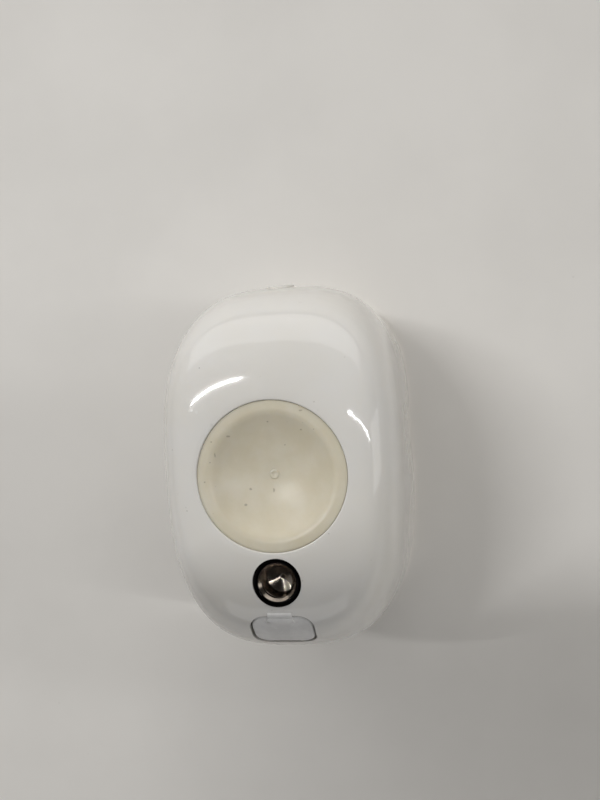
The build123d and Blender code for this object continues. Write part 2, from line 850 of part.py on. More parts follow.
# Image sensor and its board
with BuildPart() as image_sensor:
    with BuildSketch(facing_back(board_back - sensor_thickness, up=lens_up)):
        Rectangle(sensor_size, sensor_size)
    extrude(amount=sensor_thickness)
image_sensor.part.label = "image_sensor"
export_step(image_sensor.part, "parts/image_sensor.step")

with BuildPart() as sensor_board:
    with BuildSketch(facing_back(board_back, up=lens_up)):
        RectangleRounded(sensor_board_width, sensor_board_height, 1)
    extrude(amount=sensor_board_thickness)
    add(rods(board_screw_radius, board_back - 1, sensor_board_back + 1, sensor_screw_spots), mode=Mode.SUBTRACT)
sensor_board.part.label = "sensor_board"
export_step(sensor_board.part, "parts/sensor_board.step")

# Infrared lamps on their ring board, round the bezel
with BuildPart() as led_board:
    with BuildSketch(facing_back(shoulder_deep - led_board_thickness, up=lens_up)):
        Circle(led_board_outer)
        Circle(bezel_radius, mode=Mode.SUBTRACT)
    extrude(amount=led_board_thickness)
led_board.part.label = "led_board"
export_step(led_board.part, "parts/led_board.step")

led_back = shoulder_deep - led_board_thickness
with BuildPart() as infrared_leds:
    with BuildSketch(facing_back(led_back - led_height)):
        with Locations(*[(-x, up) for x, up in led_spots]):
            Rectangle(led_size, led_size)
    extrude(amount=led_height)
infrared_leds.part.label = "infrared_leds"
export_step(infrared_leds.part, "parts/infrared_leds.step")

# Motion sensor: domed lens with a flange, metal can and board
with BuildPart() as pir_lens:
    with BuildSketch(facing_back(plate_back, up=pir_up)):
        Circle(pir_flange_radius)
    extrude(amount=pir_flange)
    with BuildSketch(facing_back(window_sink + pir_crown, up=pir_up)):
        Circle(pir_radius)
    extrude(amount=plate_back - window_sink - pir_crown + pir_flange)
    crown_radius = (pir_radius**2 + pir_crown**2) / (2 * pir_crown)
    with BuildSketch(level(pir_up, 0)):
        with BuildLine():
            Line((0, window_sink), (0, window_sink + pir_crown))
            Line((0, window_sink + pir_crown), (pir_radius, window_sink + pir_crown))
            RadiusArc((pir_radius, window_sink + pir_crown), (0, window_sink), crown_radius)
        make_face()
    revolve(axis=Axis(spot(0, 0, pir_up), (0, 1, 0)))
    with BuildSketch(facing_back(window_sink + pir_crown + pir_skin, up=pir_up)):
        Circle(pir_radius - pir_skin)
    extrude(amount=depth, mode=Mode.SUBTRACT)
pir_lens.part.label = "pir_lens"
export_step(pir_lens.part, "parts/pir_lens.step")

with BuildPart() as pir_sensor:
    with BuildSketch(facing_back(pir_board_deep - pir_can_height, up=pir_up)):
        Circle(pir_can_radius)
    extrude(amount=pir_can_height)
    fillet(pir_sensor.edges().sort_by(Axis.Y)[0], 0.5)
    with BuildSketch(facing_back(pir_board_deep - 0.6, up=pir_up)):
        Circle(pir_can_radius + 0.5)
    extrude(amount=0.6)
pir_sensor.part.label = "pir_sensor"
export_step(pir_sensor.part, "parts/pir_sensor.step")

pir_board_back = pir_board_deep + pir_board_thickness
with BuildPart() as pir_board:
    with BuildSketch(facing_back(pir_board_deep, up=pir_up)):
        RectangleRounded(pir_board_width, pir_board_height, 1)
    extrude(amount=pir_board_thickness)
    add(rods(board_screw_radius, pir_board_deep - 1, pir_board_back + 1, pir_screw_spots), mode=Mode.SUBTRACT)
pir_board.part.label = "pir_board"
export_step(pir_board.part, "parts/pir_board.step")

# Microphone with its rubber boot, and the light sensor beside it
with BuildPart() as microphone:
    with BuildSketch(facing_back(pir_board_deep - 1, x=-ear_x, up=ear_up)):
        Rectangle(3.5, 2.65)
    extrude(amount=1)
microphone.part.label = "microphone"
export_step(microphone.part, "parts/microphone.step")

with BuildPart() as microphone_boot:
    with BuildSketch(facing_back(plate_back, x=-ear_x, up=ear_up)):
        Circle(ear_boot_radius)
        Circle(ear_radius, mode=Mode.SUBTRACT)
    extrude(amount=pir_board_deep - 1 - plate_back)
microphone_boot.part.label = "microphone_boot"
export_step(microphone_boot.part, "parts/microphone_boot.step")

with BuildPart() as light_sensor:
    with BuildSketch(facing_back(pir_board_deep - 0.7, x=ear_x, up=ear_up)):
        Rectangle(2, 2)
    extrude(amount=0.7)
light_sensor.part.label = "light_sensor"
export_step(light_sensor.part, "parts/light_sensor.step")

# Main board with its processor, cans, heat plate and status light
chip_deep = main_board_deep - chip_thickness
pad_deep = chip_deep - pad_thickness
heat_plate_deep = pad_deep - heat_plate_thickness
post_notches = rods(post_radius + rubber_clearance, main_board_deep - 1, main_board_back + 1, post_spots)
stud_holes = rods(board_screw_radius, main_board_deep - 1, main_board_back + 1, stud_spots)
with BuildPart() as main_board:
    add(rounded_slab(main_board_width / 2, main_board_low, main_board_high, 3, main_board_deep, main_board_back))
    add(post_notches, mode=Mode.SUBTRACT)
    add(stud_holes, mode=Mode.SUBTRACT)
main_board.part.label = "main_board"
export_step(main_board.part, "parts/main_board.step")

# Eight board screws: two in the sensor board, two in the motion board, four in the main board
head = board_screw_head_height
with BuildPart() as board_screws:
    add(rods(board_screw_radius, board_back - 1.5, sensor_board_back + head / 2, sensor_screw_spots))
    add(rods(board_screw_head, sensor_board_back, sensor_board_back + head, sensor_screw_spots))
    add(rods(board_screw_radius, pir_board_deep - 3, pir_board_back + head / 2, pir_screw_spots))
    add(rods(board_screw_head, pir_board_back, pir_board_back + head, pir_screw_spots))
    add(rods(board_screw_radius, main_board_deep - head / 2, chassis_deep, stud_spots))
    add(rods(board_screw_head, main_board_deep - head, main_board_deep, stud_spots))
board_screws.part.label = "board_screws"
export_step(board_screws.part, "parts/board_screws.step")

with BuildPart() as processor:
    with BuildSketch(facing_back(chip_deep, up=chip_up)):
        Rectangle(chip_size, chip_size)
    extrude(amount=chip_thickness)
processor.part.label = "processor"
export_step(processor.part, "parts/processor.step")

with BuildPart() as thermal_pad:
    with BuildSketch(facing_back(pad_deep, up=chip_up)):
        Rectangle(chip_size, chip_size)
    extrude(amount=pad_thickness)
thermal_pad.part.label = "thermal_pad"
export_step(thermal_pad.part, "parts/thermal_pad.step")

with BuildPart() as heat_plate:
    with BuildSketch(facing_back(heat_plate_deep, up=chip_up)):
        RectangleRounded(heat_plate_width, heat_plate_height, 1)
    extrude(amount=heat_plate_thickness)
heat_plate.part.label = "heat_plate"
export_step(heat_plate.part, "parts/heat_plate.step")

with BuildPart() as shield_cans:
    with BuildSketch(facing_back(main_board_back)):
        with Locations((0, lens_up), (0, chip_up - 4)):
            RectangleRounded(18, 14, 0.8)
    extrude(amount=can_height)
shield_cans.part.label = "shield_cans"
export_step(shield_cans.part, "parts/shield_cans.step")

with BuildPart() as board_connector:
    with BuildSketch(facing_back(sensor_board_back, up=lens_up - 6)):
        Rectangle(10, 3)
    extrude(amount=main_board_deep - sensor_board_back)
board_connector.part.label = "board_connector"
export_step(board_connector.part, "parts/board_connector.step")

led_chip_deep = main_board_deep - led_chip_height
light_pipe_up = main_board_high - 2
with BuildPart() as status_led:
    with BuildSketch(facing_back(led_chip_deep, up=light_pipe_up)):
        Rectangle(led_chip, led_chip)
    extrude(amount=led_chip_height)
status_led.part.label = "status_led"
export_step(status_led.part, "parts/status_led.step")

# Light pipe: from the status light to the window, with one easy jog up
pipe_run = led_chip_deep - pipe_seat
with BuildPart() as light_pipe:
    with BuildLine() as pipe_path:
        FilletPolyline(
            spot(0, plate_front, pipe_up),
            spot(0, plate_front + 9, pipe_up),
            spot(0, pipe_run - 4, light_pipe_up),
            spot(0, pipe_run, light_pipe_up),
            radius=5,
        )
    with BuildSketch(facing_back(plate_front, up=pipe_up)):
        Circle(pipe_radius)
    sweep()
light_pipe.part.label = "light_pipe"
export_step(light_pipe.part, "parts/light_pipe.step")

# Chassis: front wall, battery bay, posts, studs, board ribs, speaker bracket, switch tower
bay_outer = rounded_slab(
    bay_half_width, bay_low, bay_high, battery_corner + bay_clearance + bay_wall, chassis_back, bay_end
)
bay_inner = rounded_slab(
    battery_width / 2 + bay_clearance,
    bay_low + bay_wall,
    bay_high - bay_wall,
    battery_corner + bay_clearance,
    chassis_back,
    bay_end + 1,
)
front_wall = rounded_slab(
    chassis_half_width, chassis_low, chassis_high, chassis_corner, chassis_deep, chassis_back
)
posts = rods(post_radius, post_start, chassis_deep, post_spots)
post_bores = rods(case_screw_radius, post_start - 1, chassis_back + 1, post_spots)
studs = rods(stud_radius, main_board_back, chassis_deep, stud_spots)
stud_bores = rods(board_screw_radius, main_board_back - 1, chassis_deep, stud_spots)
inlet_board_top = port_up + port_height / 2 + small_board
rib_deep = (chassis_back, bay_end)
left_rib = block(
    (-inlet_board_half_width, -inlet_board_half_width + inlet_rib),
    rib_deep,
    (inlet_board_top, bay_low + 0.5),
)
right_rib = block(
    (inlet_board_half_width - inlet_rib, inlet_board_half_width),
    rib_deep,
    (inlet_board_top, bay_low + 0.5),
)
board_slot = block(
    (-inlet_board_half_width - 0.2, inlet_board_half_width + 0.2),
    (chassis_deep - 1, chassis_back + 1),
    (inlet_board_top - small_board - 0.1, inlet_board_top + 0.1),
)
speaker_top = chassis_low
bracket = block(
    (-speaker_width / 2 - 1, speaker_width / 2 + 1),
    (speaker_deep - speaker_length / 2 - 1, chassis_back),
    (chassis_low, chassis_low + speaker_bracket),
)
tower = block(
    (-switch_width / 2 - 1, switch_width / 2 + 1),
    (sync_deep - switch_width / 2 - 1, sync_deep + switch_width / 2 + 1),
    (bay_high - 0.5, switch_seat - small_board),
)
contact_holes = rods(contact_radius + 0.2, chassis_deep - 1, chassis_back + 1, contact_spots)
with BuildPart() as chassis:
    add(front_wall)
    add(bay_outer - bay_inner)
    add(posts)
    add(studs)
    add(left_rib)
    add(right_rib)
    add(bracket)
    add(tower)
    add(post_bores, mode=Mode.SUBTRACT)
    add(stud_bores, mode=Mode.SUBTRACT)
    add(board_slot, mode=Mode.SUBTRACT)
    add(contact_holes, mode=Mode.SUBTRACT)
chassis.part.label = "chassis"
export_step(chassis.part, "parts/chassis.step")

# Four long screws that hold the chassis to the front frame
with BuildPart() as case_screws:
    add(rods(case_screw_radius, post_start - case_screw_bite + 0.3, chassis_back + 0.1, post_spots))
    add(rods(case_screw_head, chassis_back, chassis_back + case_screw_head_height, post_spots))
case_screws.part.label = "case_screws"
export_step(case_screws.part, "parts/case_screws.step")

# Battery contacts: moulded block with four sprung pins
with BuildPart() as contact_block:
    with BuildSketch(facing_back(main_board_back, up=contact_up)):
        Rectangle(contact_count * contact_pitch, 4)
    extrude(amount=chassis_deep - main_board_back)
contact_block.part.label = "contact_block"
export_step(contact_block.part, "parts/contact_block.step")

with BuildPart() as contact_pins:
    add(rods(contact_radius, chassis_deep, chassis_back, contact_spots))
contact_pins.part.label = "contact_pins"
export_step(contact_pins.part, "parts/contact_pins.step")

# Battery pack and its four sunk terminals
terminal_spots = [(-x, up) for x, up in contact_spots]
with BuildPart() as battery_pack:
    with BuildSketch(facing_back(battery_start, up=battery_up)):
        RectangleRounded(battery_width, battery_height, battery_corner)
    extrude(amount=battery_depth)
    fillet(battery_pack.faces().sort_by(Axis.Y)[0].edges(), battery_edge)
    fillet(battery_pack.faces().sort_by(Axis.Y)[-1].edges(), battery_edge)
    with BuildSketch(facing_back(battery_start)):
        with Locations(*terminal_spots):
            Rectangle(terminal_width, terminal_height)
    extrude(amount=terminal_thickness, mode=Mode.SUBTRACT)
battery_pack.part.label = "battery_pack"
export_step(battery_pack.part, "parts/battery_pack.step")

with BuildPart() as battery_terminals:
    with BuildSketch(facing_back(battery_start)):
        with Locations(*terminal_spots):
            Rectangle(terminal_width, terminal_height)
    extrude(amount=terminal_thickness)
battery_terminals.part.label = "battery_terminals"
export_step(battery_terminals.part, "parts/battery_terminals.step")

# Inlet board, its header on the main board and the inlet socket
header_back = main_board_back + 1.5
board_level = (inlet_board_top - small_board, inlet_board_top)
with BuildPart() as inlet_board:
    add(block((-inlet_board_half_width, inlet_board_half_width), (header_back, port_end - 0.8), board_level))
inlet_board.part.label = "inlet_board"
export_step(inlet_board.part, "parts/inlet_board.step")

with BuildPart() as inlet_header:
    add(block((-5, 5), (main_board_back, header_back), (board_level[0] - 1, board_level[1] + 0.5)))
inlet_header.part.label = "inlet_header"
export_step(inlet_header.part, "parts/inlet_header.step")

with BuildPart() as inlet_socket:
    with BuildSketch(facing_back(port_end - port_depth, up=port_up)):
        Rectangle(port_width, port_height)
    extrude(amount=port_depth)
    with BuildSketch(facing_back(port_end - port_depth + 0.8, up=port_up)):
        Rectangle(port_width - 2 * port_shell, port_height - 2 * port_shell)
    extrude(amount=port_depth, mode=Mode.SUBTRACT)
    with BuildSketch(facing_back(port_end - port_depth + 0.5, up=port_up + 0.2)):
        Rectangle(tongue_width, tongue_height)
    extrude(amount=port_depth - 1.5)
inlet_socket.part.label = "inlet_socket"
export_step(inlet_socket.part, "parts/inlet_socket.step")

# Button switch on its small board, on the chassis tower
with BuildPart() as switch_board:
    add(
        block(
            (-switch_width / 2 - 1, switch_width / 2 + 1),
            (sync_deep - switch_width / 2 - 1, sync_deep + switch_width / 2 + 1),
            (switch_seat - small_board, switch_seat),
        )
    )
switch_board.part.label = "switch_board"
export_step(switch_board.part, "parts/switch_board.step")

with BuildPart() as sync_switch:
    with BuildSketch(level(switch_seat, sync_deep)):
        Rectangle(switch_width, switch_width)
    extrude(amount=switch_height)
    with BuildSketch(level(switch_top, sync_deep)):
        Circle(plunger_radius)
    extrude(amount=plunger_height)
sync_switch.part.label = "sync_switch"
export_step(sync_switch.part, "parts/sync_switch.step")

# Two flat aerials on the bay's sides, each with its coax lead and plug
aerial_faces = []
for side in (-1, 1):
    inner_face, outer_face = sorted((side * bay_half_width, side * (bay_half_width + aerial_thickness)))
    aerial_faces.append(
        block(
            (inner_face, outer_face),
            (aerial_start, aerial_start + aerial_length),
            (aerial_up - aerial_height / 2, aerial_up + aerial_height / 2),
        )
    )
with BuildPart() as aerials:
    add(aerial_faces)
aerials.part.label = "aerials"
export_step(aerials.part, "parts/aerials.step")

plug_x = main_board_width / 2 - coax_plug / 2 - 0.3
coax_deep = main_board_back + coax_plug_height / 2 + 0.1
coax_x = bay_half_width + aerial_thickness + coax_radius + 0.05
with BuildPart() as coax_plugs:
    with BuildSketch(facing_back(main_board_back, up=coax_up)):
        with Locations((-plug_x, 0), (plug_x, 0)):
            Rectangle(coax_plug, coax_plug)
    extrude(amount=coax_plug_height)
coax_plugs.part.label = "coax_plugs"
export_step(coax_plugs.part, "parts/coax_plugs.step")

coax_runs = [
    wire_along(
        [
            (side * (plug_x + coax_plug / 2), coax_deep, coax_up),
            (side * coax_x, coax_deep, coax_up),
            (side * coax_x, aerial_start + 2, coax_up),
        ],
        coax_radius,
        coax_bend,
    )
    for side in (-1, 1)
]
with BuildPart() as coax_leads:
    add(coax_runs)
coax_leads.part.label = "coax_leads"
export_step(coax_leads.part, "parts/coax_leads.step")

# Speaker under the chassis bracket, with its foam ring and two wires
speaker_low = speaker_top - speaker_height
with BuildPart() as speaker:
    with BuildSketch(level(speaker_low, speaker_deep)):
        RectangleRounded(speaker_width, speaker_length, 3)
    extrude(amount=speaker_height)
    with BuildSketch(level(speaker_low, speaker_deep)):
        RectangleRounded(speaker_width - 4, speaker_length - 4, 2)
    extrude(amount=0.5, mode=Mode.SUBTRACT)
speaker.part.label = "speaker"
export_step(speaker.part, "parts/speaker.step")

with BuildPart() as speaker_foam_ring:
    with BuildSketch(level(speaker_low - speaker_foam, speaker_deep)):
        RectangleRounded(speaker_width, speaker_length, 3)
        RectangleRounded(speaker_width - 2 * foam_width, speaker_length - 2 * foam_width, 2, mode=Mode.SUBTRACT)
    extrude(amount=speaker_foam)
speaker_foam_ring.part.label = "speaker_foam"
export_step(speaker_foam_ring.part, "parts/speaker_foam.step")

wire_level = speaker_low + speaker_height / 2
speaker_runs = [
    wire_along(
        [
            (speaker_width / 2, speaker_deep + step, wire_level),
            (speaker_width / 2 + wire_reach, speaker_deep + step, wire_level),
            (speaker_width / 2 + wire_reach, speaker_deep + step, main_board_low + 1.9 - step),
            (speaker_width / 2 + wire_reach, main_board_deep, main_board_low + 1.9 - step),
        ],
        wire_radius,
        wire_bend,
    )
    for step in (-1.0, 0.6)
]
with BuildPart() as speaker_wires:
    add(speaker_runs)
speaker_wires.part.label = "speaker_wires"
export_step(speaker_wires.part, "parts/speaker_wires.step")

# Release latch: button in the notch, two ears above the tongue and a hooked arm behind
tongue_half_width = width / 2 - ring_wall
tongue_level = tongue_high * (1 - (ear_half / tongue_half_width) ** front_power) ** (1 / front_power)
ear_low = tongue_level + latch_ear_rest
latch_top = ear_low + latch_ear_height
arm_low = inner_base + slide_clearance
with BuildPart() as latch_button:
    add(
        block(
            (-latch_half_width, latch_half_width),
            (latch_start, latch_start + latch_length),
            (-height / 2 - 1, latch_top),
        )
    )
    add(outer_form, mode=Mode.INTERSECT)
    add(
        block(
            (-ear_half, ear_half),
            (latch_deep - latch_ear_length / 2, latch_deep + latch_ear_length / 2),
            (ear_low, latch_top),
        )
    )
    add(
        block(
            (-latch_arm_half, latch_arm_half),
            (latch_deep, latch_arm_end),
            (arm_low, arm_low + latch_arm_height),
        )
    )
latch_button.part.label = "latch_button"
export_step(latch_button.part, "parts/latch_button.step")

# Latch spring: an open coil between the button and the bridge's roof
spring_low = latch_top + spring_wire
spring_high = bridge_top - bridge_roof - spring_wire
spring_pitch = (spring_high - spring_low) / spring_turns
with BuildPart() as latch_spring:
    with BuildLine(level(spring_low, latch_deep)) as coil:
        Helix(spring_pitch, spring_high - spring_low, spring_radius)
    with BuildSketch(Plane(origin=coil.line @ 0, z_dir=coil.line % 0)):
        Circle(spring_wire)
    sweep(is_frenet=True)
latch_spring.part.label = "latch_spring"
export_step(latch_spring.part, "parts/latch_spring.step")

# Places that the joints turn about and slide along
reach_low, reach_high = 0.5, 0.9995
edge_sum = inlet_deep + inlet_up + hinge_y * math.sqrt(2)
for step in range(40):
    reach = (reach_low + reach_high) / 2
    edge_deep = seam + (depth + strap_rise - seam) * reach
    edge_up = min(y for x, y in section(reach, -strap_rise))
    if edge_deep + edge_up < edge_sum:
        reach_low = reach
    else:
        reach_high = reach
print("flap hinge", [round(value, 3) for value in spot(0, edge_deep, edge_up)])
print("bowl dish floor", [round(value, 3) for value in spot(0, bowl_rim_deep - bowl_dish, bowl_up)])
print("inlet mouth", [round(value, 3) for value in spot(0, port_end, port_up)])
print("bridge roof", [round(value, 3) for value in spot(0, latch_deep, bridge_top - bridge_roof)])
print("thread length", round(thread_end - thread_start, 3))
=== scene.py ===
"""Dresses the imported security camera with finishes, small pieces, a table, lamps and the viewpoint."""
import json
import logging
import math
from dataclasses import dataclass
from enum import Enum
from typing import Any, Iterable, Optional, Sequence, Union

import bmesh
import bpy
from mathutils import Matrix, Vector


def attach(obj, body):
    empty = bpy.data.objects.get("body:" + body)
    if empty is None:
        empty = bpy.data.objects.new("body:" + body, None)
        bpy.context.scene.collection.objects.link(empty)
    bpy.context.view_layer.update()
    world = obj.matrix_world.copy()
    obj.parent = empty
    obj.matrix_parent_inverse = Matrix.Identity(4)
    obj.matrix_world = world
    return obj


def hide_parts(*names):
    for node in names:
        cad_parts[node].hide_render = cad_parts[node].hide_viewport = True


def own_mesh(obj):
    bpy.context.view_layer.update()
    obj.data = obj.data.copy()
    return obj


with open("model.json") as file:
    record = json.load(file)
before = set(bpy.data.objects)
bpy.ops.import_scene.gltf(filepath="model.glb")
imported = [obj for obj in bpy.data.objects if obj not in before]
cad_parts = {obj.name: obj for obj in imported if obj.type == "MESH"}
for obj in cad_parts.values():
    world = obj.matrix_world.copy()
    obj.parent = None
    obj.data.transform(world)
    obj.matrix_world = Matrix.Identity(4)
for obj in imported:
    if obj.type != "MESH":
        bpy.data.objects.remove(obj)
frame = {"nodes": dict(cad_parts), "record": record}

LOG = logging.getLogger("camera")

# Lengths are in millimetres where nothing else is said.
MM = 0.001
PER_METRE = 1000.0

# The origin, halfway along the insert's thread: depth from the face and height from the face's middle.
THREAD_MIDDLE = 66.5875
INSERT_UP = -18.95

# The middle of the flap's pocket, measured in the same way, and the heights of the dish and of the lens.
INLET_DEEP = 65.1
INLET_UP = -29.5
DISH_UP = 1.45
LENS_UP = 12.0

# Degrees of bend above which an edge stays crisp, and distances under which points are joined.
CRISP_ANGLE = 32.0
NODE_WELD = 0.002
PIECE_WELD = 0.0005

Colour = tuple[float, float, float]
Number = Union[float, int, "Field"]
Inputs = dict[Union[int, str], Any]
Rows = Iterable[Sequence[float]]
Pairs = Sequence[tuple[float, float]]
Socket = bpy.types.NodeSocket
Node = bpy.types.Node
BMesh = bmesh.types.BMesh


def spot(x: float, deep: float, up: float) -> Vector:
    """The point, in metres, at a side, a depth from the face and a height from its middle, in millimetres."""
    return Vector((x, deep - THREAD_MIDDLE, up - INSERT_UP)) * MM


def srgb(red: float, green: float, blue: float) -> Colour:
    """Linear colour of an sRGB colour written from 0 to 255, by the standard curve and its straight start."""
    shares = (red / 255, green / 255, blue / 255)
    return tuple(((c + 0.055) / 1.055) ** 2.4 if c > 0.04045 else c / 12.92 for c in shares)


def scaled(colour: Colour, share: Union[float, Colour], lift: float = 0.0) -> Colour:
    """A colour times a share, one for all channels or one for each, plus a lift, and at most 1."""
    shares = share if isinstance(share, tuple) else (share, share, share)
    return tuple(min(channel * part + lift, 1.0) for channel, part in zip(colour, shares))


class Body(Enum):
    """The bodies that pieces ride on."""

    HOUSING = "rear_housing"
    MODULE = "front_module"
    BATTERY = "battery"
    LATCH = "latch"


class Facing(Enum):
    """Ways that a flat piece looks."""

    FRONT = -1
    BACK = 1


# Shaders


class Field:
    """A number that varies over a surface. Its operators add Math nodes."""

    def __init__(self, shader: "Shader", socket: Socket) -> None:
        """Wraps an output socket of a shader's tree."""
        self.shader = shader
        self.socket = socket

    def maths(self, operation: str, other: Number = 0.0, turned: bool = False) -> "Field":
        """Adds one Math node.

        Args:
            operation: The node's operation.
            other: The second value.
            turned: Whether the second value comes first.

        Returns:
            The result.
        """
        first, second = (other, self) if turned else (self, other)
        return self.shader.field("ShaderNodeMath", {"operation": operation}, {0: first, 1: second})

    def __add__(self, other: Number) -> "Field":
        """Sum."""
        return self.maths("ADD", other)

    __radd__ = __add__

    def __sub__(self, other: Number) -> "Field":
        """Difference."""
        return self.maths("SUBTRACT", other)

    def __rsub__(self, other: Number) -> "Field":
        """Difference from a number."""
        return self.maths("SUBTRACT", other, turned=True)

    def __mul__(self, other: Number) -> "Field":
        """Product."""
        return self.maths("MULTIPLY", other)

    def __truediv__(self, other: Number) -> "Field":
        """Quotient."""
        return self.maths("DIVIDE", other)

    def __pow__(self, other: Number) -> "Field":
        """Power."""
        return self.maths("POWER", other)

    def __abs__(self) -> "Field":
        """Size without sign."""
        return self.maths("ABSOLUTE")

    def least(self, other: Number) -> "Field":
        """The smaller of two."""
        return self.maths("MINIMUM", other)

    def most(self, other: Number) -> "Field":
        """The larger of two."""
        return self.maths("MAXIMUM", other)

    def sine(self) -> "Field":
        """Sine of an angle in radians."""
        return self.maths("SINE")

    def angle(self, other: "Field") -> "Field":
        """Angle of the point whose height is this and whose side is the other."""
        return self.maths("ARCTAN2", other)

    def hypot(self, other: "Field") -> "Field":
        """Distance to the point whose side and height are this and the other."""
        return (self * self + other * other) ** 0.5

    def wave(self, period: float) -> "Field":
        """A triangle wave from 0 to 1 and back over one period."""
        return self.maths("PINGPONG", period / 2) * (2 / period)

    def ramp(self, low: float, high: float) -> "Field":
        """A soft step that is 0 at low and 1 at high."""
        return self.shader.field(
            "ShaderNodeMapRange",
            {"interpolation_type": "SMOOTHSTEP"},
            {"Value": self, "From Min": low, "From Max": high, "To Min": 0.0, "To Max": 1.0},
        )


class Shader:
    """The node tree of one finish, in millimetres of Object coordinates."""

    def __init__(self, name: str) -> None:
        """Starts an empty material."""
        self.material = bpy.data.materials.new(name)
        self.material.use_nodes = True
        self.tree = self.material.node_tree
        self.tree.nodes.clear()
        self.out = self.tree.nodes.new("ShaderNodeOutputMaterial")
        self.coordinates = self.tree.nodes.new("ShaderNodeTexCoord").outputs["Object"]

    def add(
        self, kind: str, settings: Optional[dict[str, Any]] = None, sockets: Optional[Inputs] = None
    ) -> Node:
        """Adds a node.

        Args:
            kind: The node's type.
            settings: Its properties, set first.
            sockets: Values or links of its inputs, by name or place.

        Returns:
            The node.
        """
        node = self.tree.nodes.new(kind)
        for key, value in (settings or {}).items():
            setattr(node, key, value)
        for key, value in (sockets or {}).items():
            taken = node.inputs[key]
            given = value.socket if isinstance(value, Field) else value
            if isinstance(given, Socket):
                self.tree.links.new(given, taken)
            elif isinstance(given, tuple) and len(given) == 3 and len(taken.default_value) == 4:
                taken.default_value = (*given, 1.0)
            else:
                taken.default_value = given
        return node

    def field(self, kind: str, settings: dict[str, Any], sockets: Inputs) -> Field:
        """Adds a node, with what add takes, and returns its first output as a field."""
        return Field(self, self.add(kind, settings, sockets).outputs[0])

    def place(self, centre: Sequence[float] = (0.0, 0.0, 0.0)) -> tuple[Field, Field, Field]:
        """Coordinates in millimetres.

        Args:
            centre: The point, in metres, that they are measured from.

        Returns:
            The three fields x, y and z.
        """
        vectors = {0: self.coordinates, 1: tuple(centre)}
        shift = self.add("ShaderNodeVectorMath", {"operation": "SUBTRACT"}, vectors)
        split = self.add("ShaderNodeSeparateXYZ", {}, {0: shift.outputs[0]})
        return tuple(Field(self, split.outputs[axis]) * PER_METRE for axis in range(3))

    def stretched(self, amounts: Sequence[float], turn: Sequence[float] = (0.0, 0.0, 0.0)) -> Socket:
        """Object coordinates turned and stretched by a Mapping node."""
        sockets = {"Vector": self.coordinates, "Rotation": tuple(turn), "Scale": tuple(amounts)}
        return self.add("ShaderNodeMapping", {}, sockets).outputs[0]

    def noise(
        self,
        size: float,
        detail: float = 3.0,
        rough: float = 0.5,
        twist: float = 0.0,
        vector: Optional[Socket] = None,
    ) -> Field:
        """Soft noise.

        Args:
            size: Size of its blobs in millimetres.
            detail: Octaves.
            rough: Share of the fine octaves.
            twist: Distortion.
            vector: Coordinates other than the object's own.

        Returns:
            A field about 0.5.
        """
        sockets = {
            "Vector": vector or self.coordinates,
            "Scale": PER_METRE / size,
            "Detail": detail,
            "Roughness": rough,
            "Distortion": twist,
        }
        return self.field("ShaderNodeTexNoise", {}, sockets)

    def cells(self, size: float, loose: float = 1.0) -> Field:
        """Distance to the points of a scattered grid, cells of one size in millimetres."""
        sockets = {"Vector": self.coordinates, "Scale": PER_METRE / size, "Randomness": loose}
        return self.field("ShaderNodeTexVoronoi", {"feature": "F1"}, sockets)

    def specks(
        self,
        size: float,
        edge: tuple[float, float],
        cloud: float,
        part: tuple[float, float],
        detail: float = 3.0,
        loose: float = 1.0,
    ) -> Field:
        """Dots scattered in clouds.

        Args:
            size: Distance from dot to dot in millimetres.
            edge: Shares of it at which a dot begins and stops fading.
            cloud: Size of the clouds in millimetres.
            part: Levels of their noise between which the clouds begin.
            detail: Octaves of that noise.
            loose: How far the dots leave a plain grid, from 0 to 1.

        Returns:
            A field that is 1 on the dots.
        """
        return (1 - self.cells(size, loose).ramp(*edge)) * self.noise(cloud, detail).ramp(*part)

    def nicks(self, x: Field, z: Field, spots: Rows) -> Field:
        """Small marks at given places.

        Args:
            x: Side in millimetres.
            z: Height in millimetres.
            spots: Marks as (x, z, half width, half height) in millimetres.

        Returns:
            A field that is 1 on the marks, with ragged edges.
        """
        ragged = self.noise(0.3, 3.0, 0.7) * 1.9 + 0.15
        found: Number = 0.0
        for across, up, half_wide, half_high in spots:
            reach = ((x - across) / half_wide).hypot((z - up) / half_high)
            found = (1 - (reach * ragged).ramp(0.5, 1.05)).most(found)
        return found

    def mix(self, mask: Number, low: Any, high: Any) -> Socket:
        """Colour that goes from low to high with the mask."""
        node = self.add("ShaderNodeMix", {"data_type": "RGBA"}, {0: mask, 6: low, 7: high})
        return node.outputs[2]

    def relief(self, height: Field, depth: float) -> Socket:
        """Normal of a surface whose height goes from 0 to 1, which stands for a depth in millimetres."""
        sockets = {"Height": height, "Distance": depth * MM, "Strength": 1.0}
        return self.add("ShaderNodeBump", {}, sockets).outputs[0]

    def surface(
        self, colour: Any, rough: Number, normal: Optional[Socket] = None, more: Optional[Inputs] = None
    ) -> Node:
        """Adds a principled surface.

        Args:
            colour: Its base colour.
            rough: Its roughness.
            normal: Its normal, unless it is the shape's own.
            more: Its other inputs.

        Returns:
            The node.
        """
        sockets = {"Base Color": colour, "Roughness": rough, **(more or {})}
        if normal is not None:
            sockets["Normal"] = normal
        return self.add("ShaderNodeBsdfPrincipled", {}, sockets)


def scattering(weight: float, radius: Sequence[float]) -> Inputs:
    """Inputs of light that goes some way through a plastic, the radius in metres for red, green and blue."""
    return {"Subsurface Weight": weight, "Subsurface Radius": radius, "Subsurface Scale": 1.0}


# Finishes


@dataclass(frozen=True)
class Finish:
    """The look of one slot of the record, which gives the material its name."""

    name: str

    def look(self, s: Shader) -> Node:
        """Adds the nodes to a shader and returns the last of them."""
        raise NotImplementedError

    def build(self) -> bpy.types.Material:
        """Makes the material."""
        s = Shader(self.name)
        s.tree.links.new(self.look(s).outputs[0], s.out.inputs["Surface"])
        return s.material


